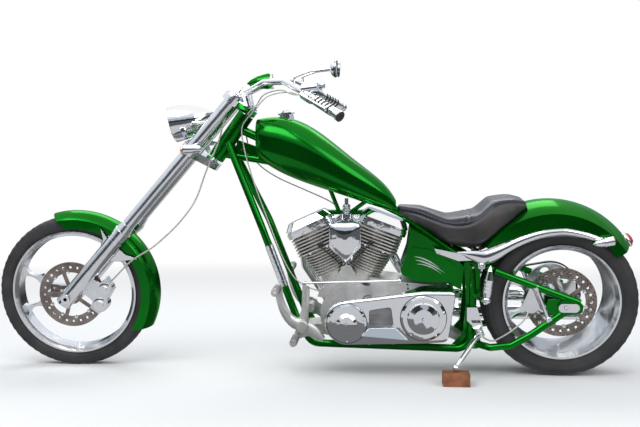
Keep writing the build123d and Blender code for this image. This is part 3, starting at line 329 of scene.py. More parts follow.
finish("brown_steel", (0.28, 0.23, 0.20), (300, 0.04), (0.26, 0.38),
       ((0.19, 0.155, 0.135), (0.36, 0.31, 0.28), 20.0), metallic=0.85)
finish("tyre", (0.022, 0.022, 0.024), (700, 0.15), (0.62, 0.80),
       ((0.016, 0.016, 0.017), (0.035, 0.034, 0.034), 10.0))
finish("black_rubber", (0.02, 0.02, 0.02), (900, 0.10), (0.45, 0.6),
       ((0.014, 0.014, 0.014), (0.03, 0.03, 0.03), 30.0))
# The top leather's blue tint is painted sheen: black leather coloured as if it mirrored a blue sky.
leather_with_painted_sheen = finish("seat_leather", (0.010, 0.012, 0.022), (260, 0.22), (0.26, 0.38),
                     ((0.006, 0.008, 0.016), (0.016, 0.018, 0.032), 8.0))
leather_with_painted_sheen.shader.inputs["Specular IOR Level"].default_value = 0.4
finish("lamp_red", (0.45, 0.01, 0.01), (200, 0.02), (0.08, 0.14), coat=0.6)
finish("block_wood", (0.26, 0.08, 0.03), (160, 0.5), (0.6, 0.8),
       ((0.14, 0.04, 0.015), (0.36, 0.13, 0.05), 24.0))
print("finishes", list(finishes))

# %% [markdown]
# Small pieces that only this script makes have finishes of their own, and each names the slot of
# the CAD model that it belongs to. The headlight's glass is clear, with a plain transmission.
# %% Finishes of the small pieces
finish("seat_side_leather", (0.03, 0.026, 0.026), (240, 0.35), (0.34, 0.5),
       ((0.018, 0.016, 0.017), (0.055, 0.047, 0.046), 7.0), slot="seat_leather")
finish("thread", (0.02, 0.018, 0.018), (900, 0.0), (0.5, 0.6), slot="seat_leather")
finish("tread", (0.020, 0.020, 0.022), (700, 0.12), (0.6, 0.8),
       ((0.014, 0.014, 0.015), (0.034, 0.033, 0.033), 10.0), slot="tyre")
# Near black: the lid seals' own colour, and painted shade in the spots that stand for the discs' drilled holes.
finish("seal_and_painted_hole_shade", (0.01, 0.01, 0.01), (400, 0.0), (0.6, 0.7), slot="black_rubber")
finish("braided_hose", (0.62, 0.60, 0.57), (2600, 0.25), (0.3, 0.45),
       ((0.42, 0.41, 0.39), (0.74, 0.72, 0.69), 260.0), slot="black_rubber", metallic=0.6)
finish("black_plastic", (0.015, 0.015, 0.016), (500, 0.03), (0.2, 0.35), slot="black_rubber")
# Darker grey than the cast aluminium: the rough casting's own tone, and in the primary cover's pocket also painted
# shade of the recess.
finish("dark_casting_and_pocket_shade", (0.30, 0.29, 0.30), (420, 0.2), (0.34, 0.46),
       ((0.22, 0.21, 0.22), (0.38, 0.37, 0.38), 18.0), slot="fin_aluminium", metallic=0.8)
finish("amber_lens", (0.9, 0.28, 0.02), (200, 0.02), (0.06, 0.12), slot="lamp_red", coat=0.8)
finish("red_lens", (0.55, 0.01, 0.01), (200, 0.02), (0.06, 0.12), slot="lamp_red", coat=0.8)
finish("dial_white", (0.75, 0.75, 0.72), (200, 0.0), (0.3, 0.4), slot="chrome")
finish("silver_stripe", (0.55, 0.58, 0.56), (300, 0.0), (0.25, 0.35), slot="candy_green", metallic=0.6)
finish("mirror_glass", (0.92, 0.93, 0.95), (100, 0.0), (0.01, 0.03), slot="chrome", metallic=1.0)
glass = Finish("lamp_glass", (0.95, 0.97, 0.98), roughness=0.03)
glass.shader.inputs["Transmission Weight"].default_value = 1.0
glass.shader.inputs["IOR"].default_value = 1.45
finishes["lamp_glass"], slot_names["lamp_glass"] = glass.material, "chrome"

slots = {row["node"]: row["material_slot"] for row in frame["record"]["subparts"]}
OWN_FINISH = {"front_brake_hose": "braided_hose", "rear_brake_hose": "braided_hose",
              "engine_cases": "cast_aluminium", "left_foot_control": "cast_aluminium",
              "right_foot_control": "cast_aluminium", "left_grip": "chrome", "right_grip": "chrome"}
for name, node in frame["nodes"].items():
    for place in node.material_slots:
        place.material = finishes[OWN_FINISH.get(name, slots[name])]
print("finished nodes", len(slots))

# %% [markdown]
# Every piece made here but the two control cables rides on one body of the machine, so that it
# moves with that body's joint. It is shaded smooth up to a sharp edge, and a slight bevel gives plates
# the bright edge line that a real casting has.
# %% Pieces on bodies
CHASSIS, FRONT_END, FRONT_WHEEL, REAR_WHEEL = "chassis", "front_end", "front_wheel", "rear_wheel"
SHARP_EDGE = math.radians(35)


def add_piece(name, data, finish_name, body, bevel=0.0):
    """A piece that rides on a body; with None for the body, it rides on none."""
    piece = bpy.data.objects.new(name, data)
    bpy.context.collection.objects.link(piece)
    data.materials.append(finishes[finish_name])
    if isinstance(data, bpy.types.Mesh):
        data.shade_smooth()
        data.set_sharp_from_angle(angle=SHARP_EDGE)
        if bevel:
            edge = piece.modifiers.new("edge", "BEVEL")
            edge.width, edge.segments, edge.limit_method = bevel / 1000, 2, "ANGLE"
            edge.angle_limit = SHARP_EDGE
            edge.harden_normals = True
    if body:
        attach(piece, body)
    print("made", name)
    return piece


# %% [markdown]
# Small details are gathered in one mesh for each body and finish. Each form is written in upright
# millimetres: a lathe turns a profile about a line, a rod joins two places, a plate has an outline
# in the side view, and a bolt is a short lathe with a socket in its head. With one function for
# each form, every bolt is alike, as one set of fasteners on a real machine would be.
# %% Mesh kit
class Shapes:
    """Forms in upright millimetres that become one piece."""

    def __init__(self, turned=False):
        self.mesh = bmesh.new()
        self.turned = turned

    def vert(self, place):
        return self.mesh.verts.new(at(*place, self.turned))

    def ring(self, centre, axis, along, radius, count):
        middle = centre + axis * along
        if radius == 0:
            return [self.vert(middle)]
        across = axis.orthogonal().normalized()
        over = axis.cross(across)
        turns = [2 * math.pi * (k + 0.5) / count for k in range(count)]
        outs = [across * math.cos(turn) + over * math.sin(turn) for turn in turns]
        return [self.vert(middle + out * radius) for out in outs]

    def lathe(self, centre, axis, profile, count=24):
        """A profile of (distance along, radius) turned about the axis through centre."""
        centre, axis = Vector(centre), Vector(axis).normalized()
        rings = [self.ring(centre, axis, along, radius, count) for along, radius in profile]
        for low, high in zip(rings, rings[1:]):
            for k in range(count):
                n = k + 1
                corners = [low[k % len(low)], low[n % len(low)], high[n % len(high)], high[k % len(high)]]
                corners = list(dict.fromkeys(corners))
                if len(corners) > 2:
                    self.mesh.faces.new(corners)

    def rod(self, start, end, radius, count=16):
        start, end = Vector(start), Vector(end)
        length = (end - start).length
        self.lathe(start, end - start, [(0, 0), (0, radius), (length, radius), (length, 0)], count)

    def bolt(self, centre, axis, radius=5.0):
        r = radius
        socket = [(r, 0.5 * r), (0.4 * r, 0.5 * r), (0.4 * r, 0)]
        self.lathe(centre, axis, [(-2, 0), (-2, r), (0.8 * r, r), (r, 0.85 * r), *socket], 12)

    def prism(self, near, far):
        """A block between two like outlines of upright places."""
        near, far = ([self.vert(spot) for spot in outline] for outline in (near, far))
        self.mesh.faces.new(near)
        self.mesh.faces.new(far)
        for k in range(len(near)):
            n = (k + 1) % len(near)
            self.mesh.faces.new([near[k], near[n], far[n], far[k]])

    def plate(self, outline, low, high):
        """An outline in the side view, thick from low to high across the machine."""
        self.prism([(x, low, z) for x, z in outline], [(x, high, z) for x, z in outline])

    def done(self, name, finish_name, body=None, bevel=0.0):
        bmesh.ops.recalc_face_normals(self.mesh, faces=self.mesh.faces)
        mesh = bpy.data.meshes.new(name)
        self.mesh.to_mesh(mesh)
        self.mesh.free()
        return add_piece(name, mesh, finish_name, body or (FRONT_END if self.turned else CHASSIS), bevel)


# %% [markdown]
# The seat is one thick pad of foam under leather. Its CAD solid gives the room it has. The solid is
# remeshed into small squares and relaxed until its edges are as round as foam makes them. Relaxing
# also shrinks it a little, which the next step gives back as the thickness of the leather.
# %% Seat foam
FOAM_SQUARE, FOAM_ROUNDS = 5, 70
seat = bpy.data.objects.new("seat_pad", frame["nodes"]["seat"].data.copy())
bpy.context.collection.objects.link(seat)
remesh = seat.modifiers.new("even", "REMESH")
remesh.mode, remesh.voxel_size, remesh.use_smooth_shade = "VOXEL", FOAM_SQUARE / 1000, True
relax = seat.modifiers.new("relax", "SMOOTH")
relax.factor, relax.iterations = 0.5, FOAM_ROUNDS
bpy.context.view_layer.update()
relaxed = bpy.data.meshes.new_from_object(seat.evaluated_get(bpy.context.evaluated_depsgraph_get()))
seat.modifiers.clear()
seat.data = relaxed
relaxed.name = "seat_pad"
print("seat faces", len(relaxed.polygons))

# %% [markdown]
# Leather is drawn in where its panels meet: at a seam along each side under the edge of the top
# panel, and at one across it where the step rises behind the rider. A narrow roll stands up on each
# side of a seam. The depth is a bell shaped valley with a lower bell beside it, so it fades evenly.
# %% Seat seams
SEAT_SEAM = [(120, 726), (180, 741), (250, 738), (300, 714), (345, 676), (400, 652), (470, 652), (540, 672),
             (600, 692), (690, 704)]
STEP_SEAM_X, STEP_SEAM_CURVE = 372, 0.0012
SEAM_WIDTH, ROLL_WIDTH, ROLL_OFFSET = 4.0, 6.0, 11
# Each seam has its depth and the height of its rolls.
SIDE_SEAM, STEP_SEAM = (3.2, 1.4), (2.6, 1.0)
LEATHER_LIFT = 2.6
SIDE_SEAM_FROM, SIDE_SEAM_RAMP, TOP_RAMP = 20, 30, 12


def along_curve(points, x):
    """Height at x of the smooth line through the points: each slope is that of its neighbours."""
    x = min(max(x, points[0][0]), points[-1][0])
    slopes = [(after[1] - before[1]) / (after[0] - before[0])
              for before, after in zip(points[:1] + points[:-1], points[1:] + points[-1:])]
    for k, ((x0, z0), (x1, z1)) in enumerate(zip(points, points[1:])):
        if x <= x1:
            wide, t = x1 - x0, (x - x0) / (x1 - x0)
            return (z0 * (1 + 2 * t) * (1 - t) ** 2 + slopes[k] * wide * t * (1 - t) ** 2
                    + z1 * t * t * (3 - 2 * t) + slopes[k + 1] * wide * t * t * (t - 1))
    return points[-1][1]


def share(value):
    return min(1.0, max(0.0, value))


def bell(distance, width):
    return math.exp(-((distance / width) ** 2))


def seam_depth(distance, depth, roll):
    """How far leather is drawn in near a seam; the rolls beside it stand proud."""
    return depth * bell(distance, SEAM_WIDTH) - roll * bell(abs(distance) - ROLL_OFFSET, ROLL_WIDTH)


relaxed.materials.clear()
relaxed.materials.append(finishes["seat_leather"])
relaxed.materials.append(finishes["seat_side_leather"])

upright = LEANING.inverted()
moves = []
for vert in relaxed.vertices:
    x, y, z = (upright @ vert.co) * 1000
    over_seam = z - along_curve(SEAT_SEAM, x)
    off_centre = share((abs(y) - SIDE_SEAM_FROM) / SIDE_SEAM_RAMP)
    on_top = share(over_seam / TOP_RAMP)
    sink = seam_depth(over_seam, *SIDE_SEAM) * off_centre
    sink += seam_depth(x - STEP_SEAM_X - STEP_SEAM_CURVE * y * y, *STEP_SEAM) * on_top
    moves.append(vert.normal * (LEATHER_LIFT - sink) / 1000)
for vert, move in zip(relaxed.vertices, moves):
    vert.co += move
# Faces above the side seam take the top leather with its painted blue sheen; those below take the brown side
# leather.
for face in relaxed.polygons:
    x, y, z = (upright @ face.center) * 1000
    face.material_index = 1 if z < along_curve(SEAT_SEAM, x) else 0
    face.use_smooth = True
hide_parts("seat")
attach(seat, CHASSIS)
print("seams sunk by mm", SIDE_SEAM[0], STEP_SEAM[0])

# %% [markdown]
# Thread holds the panels together, and its stitches show as a dotted line above each side seam.
# Each stitch is a short round bead laid on the leather, found by looking at the seat from its side.
# %% Seat stitches
FIRST_STITCH, LAST_STITCH, STITCH_STEP, STITCH_LENGTH = 150.0, 672, 5.2, 2.2
ABOVE_SEAM, BESIDE_SEAT = 6, 260
STITCH_SHAPE = Matrix.Diagonal((0.45, 0.45, 1.6, 1))


def surface_tree(thing):
    return BVHTree.FromObject(thing, bpy.context.evaluated_depsgraph_get())


def above_seam(x, y, seam_x):
    return at(x, y, along_curve(SEAT_SEAM, seam_x) + ABOVE_SEAM)


bpy.context.view_layer.update()
seat_tree = surface_tree(seat)
stitches = bmesh.new()
count = 0
for sign in (1, -1):
    x = FIRST_STITCH
    while x < LAST_STITCH:
        start = above_seam(x, sign * BESIDE_SEAT, x)
        hit, normal, _, _ = seat_tree.ray_cast(start, (above_seam(x, 0, x) - start).normalized(), 0.3)
        if hit:
            lead = above_seam(x + STITCH_LENGTH, sign * BESIDE_SEAT, x + STITCH_LENGTH)
            turn = (lead - start).normalized().to_track_quat("Z", "Y").to_matrix().to_4x4()
            place = Matrix.Translation(hit + normal * 0.0004) @ turn @ STITCH_SHAPE
            bmesh.ops.create_icosphere(stitches, subdivisions=1, radius=0.0011, matrix=place)
            count += 1
        x += STITCH_STEP
thread = bpy.data.meshes.new("seat_stitches")
stitches.to_mesh(thread)
stitches.free()
add_piece("seat_stitches", thread, "thread", CHASSIS)
print("stitches", count)

# %% [markdown]
# Tread is cut into a real tyre. Here raised blocks of the same rubber stand a little over a
# millimetre proud, and the gaps between them read as grooves. Each block is a strip of small
# squares that is dropped on the tyre from outside, so it follows the crown to the shoulder.
# %% Tyre tread
TREAD_HEIGHT, TREAD_ROOT = 1.3, 0.6
BLOCK_ROWS = 6
TREAD_BLOCKS = [
    # inner and outer share of the half width, slant and width in pitches
    (0.06, 0.40, 0.9, 0.40),
    (0.46, 0.93, 0.75, 0.34),
]


def tread_row(tree, matrix, middle, radius, turns):
    """Where rays from outside at the given turns meet the tyre, with the normals there."""
    row = []
    for turn in turns:
        out = Vector((math.cos(turn), 0, math.sin(turn)))
        start = matrix @ (middle + out * (radius / 1000 + 0.06))
        inward = (matrix.to_3x3() @ -out).normalized()
        hit, normal, _, _ = tree.ray_cast(start, inward, 0.2)
        if hit is None:
            return None
        row.append((hit, -normal if normal.dot(inward) > 0 else normal))
    return row


def tread_block(mesh, rows):
    """A raised strip over rows of three places, with walls all round."""
    top = [[mesh.verts.new(hit + normal * TREAD_HEIGHT / 1000) for hit, normal in row] for row in rows]
    root = [[mesh.verts.new(hit - normal * TREAD_ROOT / 1000) for hit, normal in row] for row in rows]
    for k in range(len(rows) - 1):
        n = k + 1
        for c in range(2):
            mesh.faces.new((top[k][c], top[k][c + 1], top[n][c + 1], top[n][c]))
        mesh.faces.new((top[k][0], top[n][0], root[n][0], root[k][0]))
        mesh.faces.new((top[k][2], root[k][2], root[n][2], top[n][2]))
    for end in (0, len(rows) - 1):
        for c in range(2):
            mesh.faces.new((top[end][c], top[end][c + 1], root[end][c + 1], root[end][c]))


def tread(tag, body, pitches, half_width, radius, matrix, hub):
    tree = surface_tree(frame["nodes"][tag + "_tyre"])
    mesh = bmesh.new()
    for k in range(pitches):
        for sign in (1, -1):
            for low, high, slant, wide in TREAD_BLOCKS:
                rows = []
                for step in range(BLOCK_ROWS):
                    out = low + (high - low) * step / (BLOCK_ROWS - 1)
                    turn = 2 * math.pi * (k + 0.25 * sign + 0.25 + slant * out) / pitches
                    turns = [turn + edge * wide * 2 * math.pi / pitches for edge in (-0.5, 0.0, 0.5)]
                    middle = hub / 1000 + Vector((0, sign * out * half_width / 1000, 0))
                    row = tread_row(tree, matrix, middle, radius, turns)
                    if row:
                        rows.append(row)
                if len(rows) > 1:
                    tread_block(mesh, rows)
    bmesh.ops.recalc_face_normals(mesh, faces=mesh.faces)
    data = bpy.data.meshes.new(tag + "_tread")
    mesh.to_mesh(data)
    mesh.free()
    add_piece(tag + "_tread", data, "tread", body)
    print("tread faces", len(data.polygons))


tread("rear", REAR_WHEEL, 46, 142.5, REAR_R, LEANING, REAR_AXLE_AT)
tread("front", FRONT_WHEEL, 60, 60, FRONT_R, STEERED, FRONT_AXLE_AT)

# %% [markdown]
# The headlight has a bowl and a bulb behind clear glass, because glass over a flat disc looks
# painted. Its rim is held by three screws, and the lens is a shallow dome.
# %% Headlight
LAMP_FACE, LAMP_TIP = Vector((1640, 0, 1091)), Vector((1458, 0, 1127))
RIM_R, SCREW_BACK = 85, 11
lamp_axis = (LAMP_FACE - LAMP_TIP).normalized()
bowl = Shapes(turned=True)
bowl.lathe(LAMP_FACE, lamp_axis, [(11.5, 0), (11.5, 14), (11.0, 40), (11.2, 60), (13.4, 74)], 48)
bowl.lathe(LAMP_FACE, lamp_axis, [(11.5, 9), (15.5, 9), (15.5, 0)])
bowl.done("headlight_bowl", "chrome")
rim = Shapes(turned=True)
rim.lathe(LAMP_FACE, lamp_axis, [(13.5, 74), (17, 77), (19, 81), (17, 84.6), (8, 85.2), (8, 83)], 64)
for degrees in (90, 210, 330):
    out = Vector((0, math.cos(math.radians(degrees)), math.sin(math.radians(degrees))))
    screw_at = LAMP_FACE + out * RIM_R + lamp_axis * SCREW_BACK
    rim.lathe(screw_at, out, [(-2, 0), (-2, 3), (1.2, 3), (1.8, 2), (1.8, 0)], 12)
rim.done("headlight_rim", "chrome")
lens = Shapes(turned=True)
lens.lathe(LAMP_FACE, lamp_axis, [(15, 76), (18.5, 60), (20.5, 36), (21.4, 14), (21.6, 0)], 48)
lens.done("headlight_lens", "lamp_glass")

# %% [markdown]
# The turn signals are metal cups with a coloured lens, amber on the fork and red at the back, where
# each also serves as a tail light. The tail light on the fender gets a polished bezel.
# %% Turn signals and tail light
SIDES = ((1, "left"), (-1, "right"))
FRONT_SIGNAL, REAR_SIGNAL, REAR_SIGNAL_LENGTH = (1586, 177, 984), (-105, 190, 582), 88
SIGNAL_BACK = Vector((-1, 0, 0.16))
TAIL_ARCH, TAIL_AXIS, TAIL_R = Vector((40, 0, 362)), Vector((-0.843, 0, 0.538)), 374


def mirrored(spot, sign):
    """A place given for the left side, on the side of sign."""
    return Vector((spot[0], sign * spot[1], spot[2]))


for sign, name in SIDES:
    front = mirrored(FRONT_SIGNAL, sign)
    cover = Shapes(turned=True)
    cover.lathe(front, (1, 0, 0), [(-1, 0), (-1, 17), (2, 16.5), (6, 12), (8, 6), (8.6, 0)], 32)
    cover.done(name + "_front_signal_lens", "amber_lens")
    ring = Shapes(turned=True)
    ring.lathe(front, (1, 0, 0), [(-3, 20.6), (0, 20.6), (1.6, 19), (1.6, 17), (0, 17)], 32)
    ring.done(name + "_front_signal_ring", "chrome")
    rear = mirrored(REAR_SIGNAL, sign) + SIGNAL_BACK.normalized() * REAR_SIGNAL_LENGTH
    cover = Shapes()
    cover.lathe(rear, SIGNAL_BACK, [(-5, 0), (-5, 15), (-2, 15), (1, 11), (3, 5), (3.4, 0)], 32)
    cover.done(name + "_rear_signal_lens", "red_lens")
    band = Shapes()
    band.lathe(rear, SIGNAL_BACK, [(-40, 19.2), (-38, 19.9), (-34, 19.9), (-32, 19.2)], 32)
    band.done(name + "_rear_signal_band", "chrome")
tail = Shapes()
bezel = [(12, 30.4), (12, 34), (16, 35), (20, 33.5), (22.5, 30.6)]
tail.lathe(TAIL_ARCH + TAIL_AXIS * TAIL_R, TAIL_AXIS, bezel, 40)
tail.done("tail_light_bezel", "chrome")

# %% [markdown]
# The gauge looks back at the rider: a pale dial with plain ticks, a needle on a hub, and a rim. Ticks
# are small raised bars, because they then stay sharp however near the camera comes.
# %% Gauge
GAUGE, GAUGE_AXIS = Vector((1330, 0, 1252)), Vector((-1, 0, 0.1)).normalized()
TICKS, FIRST_TICK, TICK_STEP, TICK_R = 13, 225, 22.5, 25
TICK_FACE, NEEDLE_FACE, NEEDLE_DEGREES = 112.6, 113.4, 215
up_dial = (Vector((0, 0, 1)) - GAUGE_AXIS * GAUGE_AXIS.z).normalized()


def across_dial(degrees):
    turn = math.radians(degrees)
    return Vector((0, -math.cos(turn), 0)) + up_dial * math.sin(turn)


dial = Shapes(turned=True)
dial.lathe(GAUGE, GAUGE_AXIS, [(108, 0), (111.6, 0.1), (112.4, 27), (110, 28.6)], 40)
dial.done("gauge_dial", "dial_white")
marks = Shapes(turned=True)
face = GAUGE + GAUGE_AXIS * TICK_FACE
for k in range(TICKS):
    out = across_dial(FIRST_TICK - TICK_STEP * k)
    tick = 6 if k % 2 == 0 else 3.5
    marks.rod(face + out * (TICK_R - tick), face + out * TICK_R, 0.6, 6)
face = GAUGE + GAUGE_AXIS * NEEDLE_FACE
out = across_dial(NEEDLE_DEGREES)
marks.rod(face - out * 5, face + out * 20, 0.8, 6)
marks.lathe(GAUGE, GAUGE_AXIS, [(112, 3), (114.4, 3), (115, 2), (115, 0)], 16)
marks.done("gauge_marks", "black_plastic")
gauge_rim = Shapes(turned=True)
gauge_rim.lathe(GAUGE, GAUGE_AXIS, [(96, 34.2), (112, 35), (116, 33), (116, 29), (112, 28)], 40)
gauge_rim.done("gauge_rim", "chrome")

# %% [markdown]
# Each mirror is a round glass in a black rim. The glass lies a little behind the rim's edge and is
# turned a few degrees outwards and down, towards a rider who sits low.
# %% Mirrors
MIRROR = (962, 278, 1310)
for sign, name in SIDES:
    head = mirrored(MIRROR, sign)
    looks = Vector((-1, sign * 0.1, -0.05)).normalized()
    glass_disc = Shapes(turned=True)
    glass_disc.lathe(head, looks, [(26.6, 31.5), (27.6, 31), (27.8, 0)], 40)
    glass_disc.done(name + "_mirror_glass", "mirror_glass")
    edge = Shapes(turned=True)
    edge.lathe(head, looks, [(20, 33.6), (27, 34.6), (29.5, 33.5), (29.5, 31.6), (27, 31)], 40)
    edge.done(name + "_mirror_rim", "black_plastic")

# %% [markdown]
# Both discs are drilled in slanting rows, and held to their carriers by buttons. A drilled hole is
# shown by a dark round spot with a faint rim on each face: painted shade in place of the open hole.
# Wheel rims carry a valve, and bolts in a ring round the hub.
# %% Discs and wheels
HOLE_ROWS, HOLES_ROUND, ROW_SLANT = (112, 122, 132, 140), 45, 0.42
BUTTON_R, HUB_BOLT_R = 103, 30
HOLE = [(2.7, 3.0), (3.25, 2.9), (3.3, 2.4), (3.05, 0)]
BUTTON = [(2.5, 7.5), (4.4, 7.2), (5.2, 5.5), (5.2, 2.5), (4.2, 2.2), (4.2, 0)]


def polar(centre, radius, degrees):
    """A place on a circle in the side view: 0 degrees is ahead of the centre, and 90 above it."""
    turn = math.radians(degrees)
    return Vector(centre) + Vector((math.cos(turn) * radius, 0, math.sin(turn) * radius))


def wheel_details(tag, body, hub, disc_y, hub_y, valve_at):
    holes = Shapes(turned=body == FRONT_WHEEL)
    buttons = Shapes(turned=body == FRONT_WHEEL)
    disc = hub + Vector((0, disc_y, 0))
    for k in range(HOLES_ROUND):
        for row, radius in enumerate(HOLE_ROWS):
            if (k + row) % 3:
                spot = polar(disc, radius, 360 * (k + ROW_SLANT * row) / HOLES_ROUND)
                for face in (1, -1):
                    # Each spot is painted shade standing for a drilled hole.
                    holes.lathe(spot, (0, face, 0), HOLE, 8)
    for k in range(10):
        for face in (1, -1):
            buttons.lathe(polar(disc, BUTTON_R, 10.8 + 36 * k), (0, face, 0), BUTTON, 16)
    for k in range(5):
        for sign in (1, -1):
            spot = polar(hub, HUB_BOLT_R, 17.1887 + 72 * k) + Vector((0, sign * hub_y, 0))
            buttons.bolt(spot, (0, sign, 0), 4.2)
    valve = hub + Vector(valve_at)
    buttons.rod(valve, valve + Vector((0, 10, 26)), 3.2, 12)
    holes.done(tag + "_disc_hole_shade", "seal_and_painted_hole_shade", body)
    buttons.done(tag + "_disc_buttons", "chrome", body)


wheel_details("front", FRONT_WHEEL, FRONT_AXLE_AT, 78, 70, (0, 20, -258))
wheel_details("rear", REAR_WHEEL, REAR_AXLE_AT, 117, 109, (0, 60, -222))

# %% [markdown]
# The engine carries most of the fasteners. Cap screws hold the rocker covers and go all round the
# primary cover, and rings of small ones hold the round lids. They all take their places from the
# crank, the clutch and the lean of each cylinder, as the castings that they hold do.
# %% Engine bolts
CRANK, CLUTCH = Vector((892, 0, 255)), Vector((576, 0, 280))
CAM_COVER, AIR_CLEANER = (902, -106, 265), (895, -201, 590)
FRONT_LEAN, REAR_LEAN = 24.0, -21.0
LEFT, RIGHT = Vector((0, 1, 0)), Vector((0, -1, 0))
COVER_FACE, CLUTCH_LID_FACE, CRANK_LID_FACE = LEFT * 221, LEFT * 243, LEFT * 241
# On each cylinder: the rocker cover's top and side, and the head's boss, as (up the bore, out from it).
COVER_TOP, COVER_SIDE, HEAD_BOSS = (430, 62), (408, 74), (312, 84)
COVER_EDGE_BOLTS = [(820, 352), (745, 364), (665, 374), (585, 384), (512, 386), (466, 372), (800, 166),
                    (700, 170), (620, 176), (505, 196)]
CASE_BOLTS = [(1006, 69, 372), (905, 69, 386), (640, 94, 392), (480, 94, 376), (478, 94, 214)]

screws = Shapes()
for lean in (FRONT_LEAN, REAR_LEAN):
    up = Vector((math.sin(math.radians(lean)), 0, math.cos(math.radians(lean))))
    run = Vector((up.z, 0, -up.x))
    for along in (-88, -30, 30, 88):
        for sign in (1, -1):
            screws.bolt(CRANK + up * COVER_TOP[0] + run * along + LEFT * sign * COVER_TOP[1], up)
    for along in (-84, -28, 28, 84):
        for sign in (1, -1):
            spot = CRANK + up * COVER_SIDE[0] + run * along + LEFT * sign * COVER_SIDE[1]
            screws.bolt(spot, LEFT * sign, 4.2)
    for along in (-40, 40):
        boss = CRANK + up * HEAD_BOSS[0] + run * along + LEFT * HEAD_BOSS[1]
        screws.lathe(boss, LEFT, [(0, 0), (0, 6), (8, 6), (8, 0)], 6)
for degrees in (-70, -30, 10, 50):
    screws.bolt(polar(CRANK + COVER_FACE, 88, degrees), LEFT)
for degrees in (-110, -150):
    screws.bolt(polar(CLUTCH + COVER_FACE, 103, degrees), LEFT)
for x, z in COVER_EDGE_BOLTS:
    screws.bolt(Vector((x, 0, z)) + COVER_FACE, LEFT)
for k in range(5):
    screws.bolt(polar(CLUTCH + CLUTCH_LID_FACE, 88, 90 + 72 * k), LEFT, 4)
for k in range(3):
    screws.bolt(polar(CRANK + CRANK_LID_FACE, 78, 30 + 120 * k), LEFT, 3.6)
for k in range(6):
    screws.bolt(polar(CAM_COVER, 76, 60 * k), RIGHT, 4.4)
for spot in CASE_BOLTS:
    screws.bolt(spot, LEFT)
for k in range(5):
    screws.bolt(polar(AIR_CLEANER, 52, 90 + 72 * k), RIGHT, 4)
screws.done("engine_bolts", "chrome")

# %% [markdown]
# The spark plugs stand in the heads under rubber caps, and their leads go down between the
# cylinders to the coil. Black leads on bare metal draw the V of the engine. A lead is a thin
# NURBS tube through a few places, since a real one bends evenly and has no straight run.
# %% Spark plugs and leads
PLUG_CAP = [(0, 0), (0, 15), (5, 15), (7, 9), (14, 9), (14, 12), (32, 10), (37, 6), (37, 0)]
LEAD_R = 2.6
LEADS = [
    # name, the plug's place, the lead's route
    ("front", (1010, 82, 560),
     [(1010, 116, 560), (985, 128, 540), (940, 122, 500), (912, 112, 470), (903, 92, 486), (902, 82, 540)]),
    ("rear", (796, 82, 572),
     [(796, 116, 572), (820, 128, 548), (862, 122, 506), (890, 112, 474), (899, 92, 490), (900, 82, 540)]),
]


def nurbs_tube(name, places, radius):
    """A curve with a round section, smooth through the pull of the row frame places."""
    curve = bpy.data.curves.new(name, "CURVE")
    curve.dimensions = "3D"
    spline = curve.splines.new("NURBS")
    spline.points.add(len(places) - 1)
    for point, place in zip(spline.points, places):
        point.co = (*place, 1)
    spline.order_u, spline.use_endpoint_u = 3, True
    curve.bevel_depth, curve.bevel_resolution, curve.use_fill_caps = radius / 1000, 4, True
    return curve


plugs = Shapes()
for name, spot, route in LEADS:
    plugs.lathe(spot, LEFT, PLUG_CAP, 16)
    lead = nurbs_tube(name + "_lead", [at(*place) for place in route], LEAD_R)
    add_piece(name + "_spark_lead", lead, "black_plastic", CHASSIS)
plugs.done("spark_plugs", "black_plastic")

# %% [markdown]
# The primary cover has two round lids, each on a dark seal. Between them lies a pocket of rough
# casting with three ribs, as a foundry leaves a pocket unpolished; its darker grey is partly that
# rough casting and partly painted shade of the recess, so it reads as depth. Below it a slanted
# chrome face leads out to the cover's edge.
# %% Primary cover details
SEAL_Y = 235
POCKET = [(802, 308), (707, 324), (698, 248), (798, 240)]
POCKET_FLOOR, POCKET_FACE, RIB_TOP = 224, 230.5, 233
RIB_HEIGHTS = (258, 276, 294)
WINDOW_LOW, WINDOW_MIDDLE, WINDOW_TOP = 230, 236.4, 249
seals = Shapes()
for centre, lid_r in ((CRANK, 84), (CLUTCH, 95)):
    seals.lathe(centre + LEFT * SEAL_Y, LEFT, [(-1, lid_r + 1.2), (0.8, lid_r + 1.2), (0.8, lid_r - 1)], 64)
seals.done("lid_seals", "seal_and_painted_hole_shade")
window = Shapes()
window_outer = [(829, WINDOW_TOP, 205), (800, WINDOW_MIDDLE, 236), (690, WINDOW_MIDDLE, 238),
                (641, WINDOW_TOP, 190)]
window.prism(window_outer, [(x, WINDOW_LOW, z) for x, y, z in window_outer])
window.done("primary_window", "chrome", bevel=0.8)
pocket = Shapes()
pocket.plate(POCKET, POCKET_FLOOR, POCKET_FACE)
for z in RIB_HEIGHTS:
    pocket.plate([(703, z), (797, z + 1), (797, z + 3), (704, z + 3)], 229, RIB_TOP)
pocket.done("primary_pocket", "dark_casting_and_pocket_shade", bevel=0.5)

# %% [markdown]
# Between the cylinders stand the coil and, above it, the ribbed tap of the fuel line: plain turned
# forms on one upright line. A small deck of cast metal closes the cases at the foot of the V.
# %% Coil and deck
COIL = (901, 30)
TAP_RIB = [(0, 14), (1, 18), (3, 18), (4, 14)]
coil = Shapes()
coil.rod((*COIL, 652), (*COIL, 690), 26, 32)
coil.rod((*COIL, 690), (*COIL, 730), 14, 24)
for k in range(6):
    coil.lathe((*COIL, 694 + 6 * k), (0, 0, 1), TAP_RIB)
coil.rod((*COIL, 722), (*COIL, 756), 8)
coil.done("coil_and_tap", "chrome", bevel=0.6)
deck = Shapes()
deck.plate([(903, 500), (958, 390), (842, 390)], -62, 62)
deck.done("case_deck", "cast_aluminium")

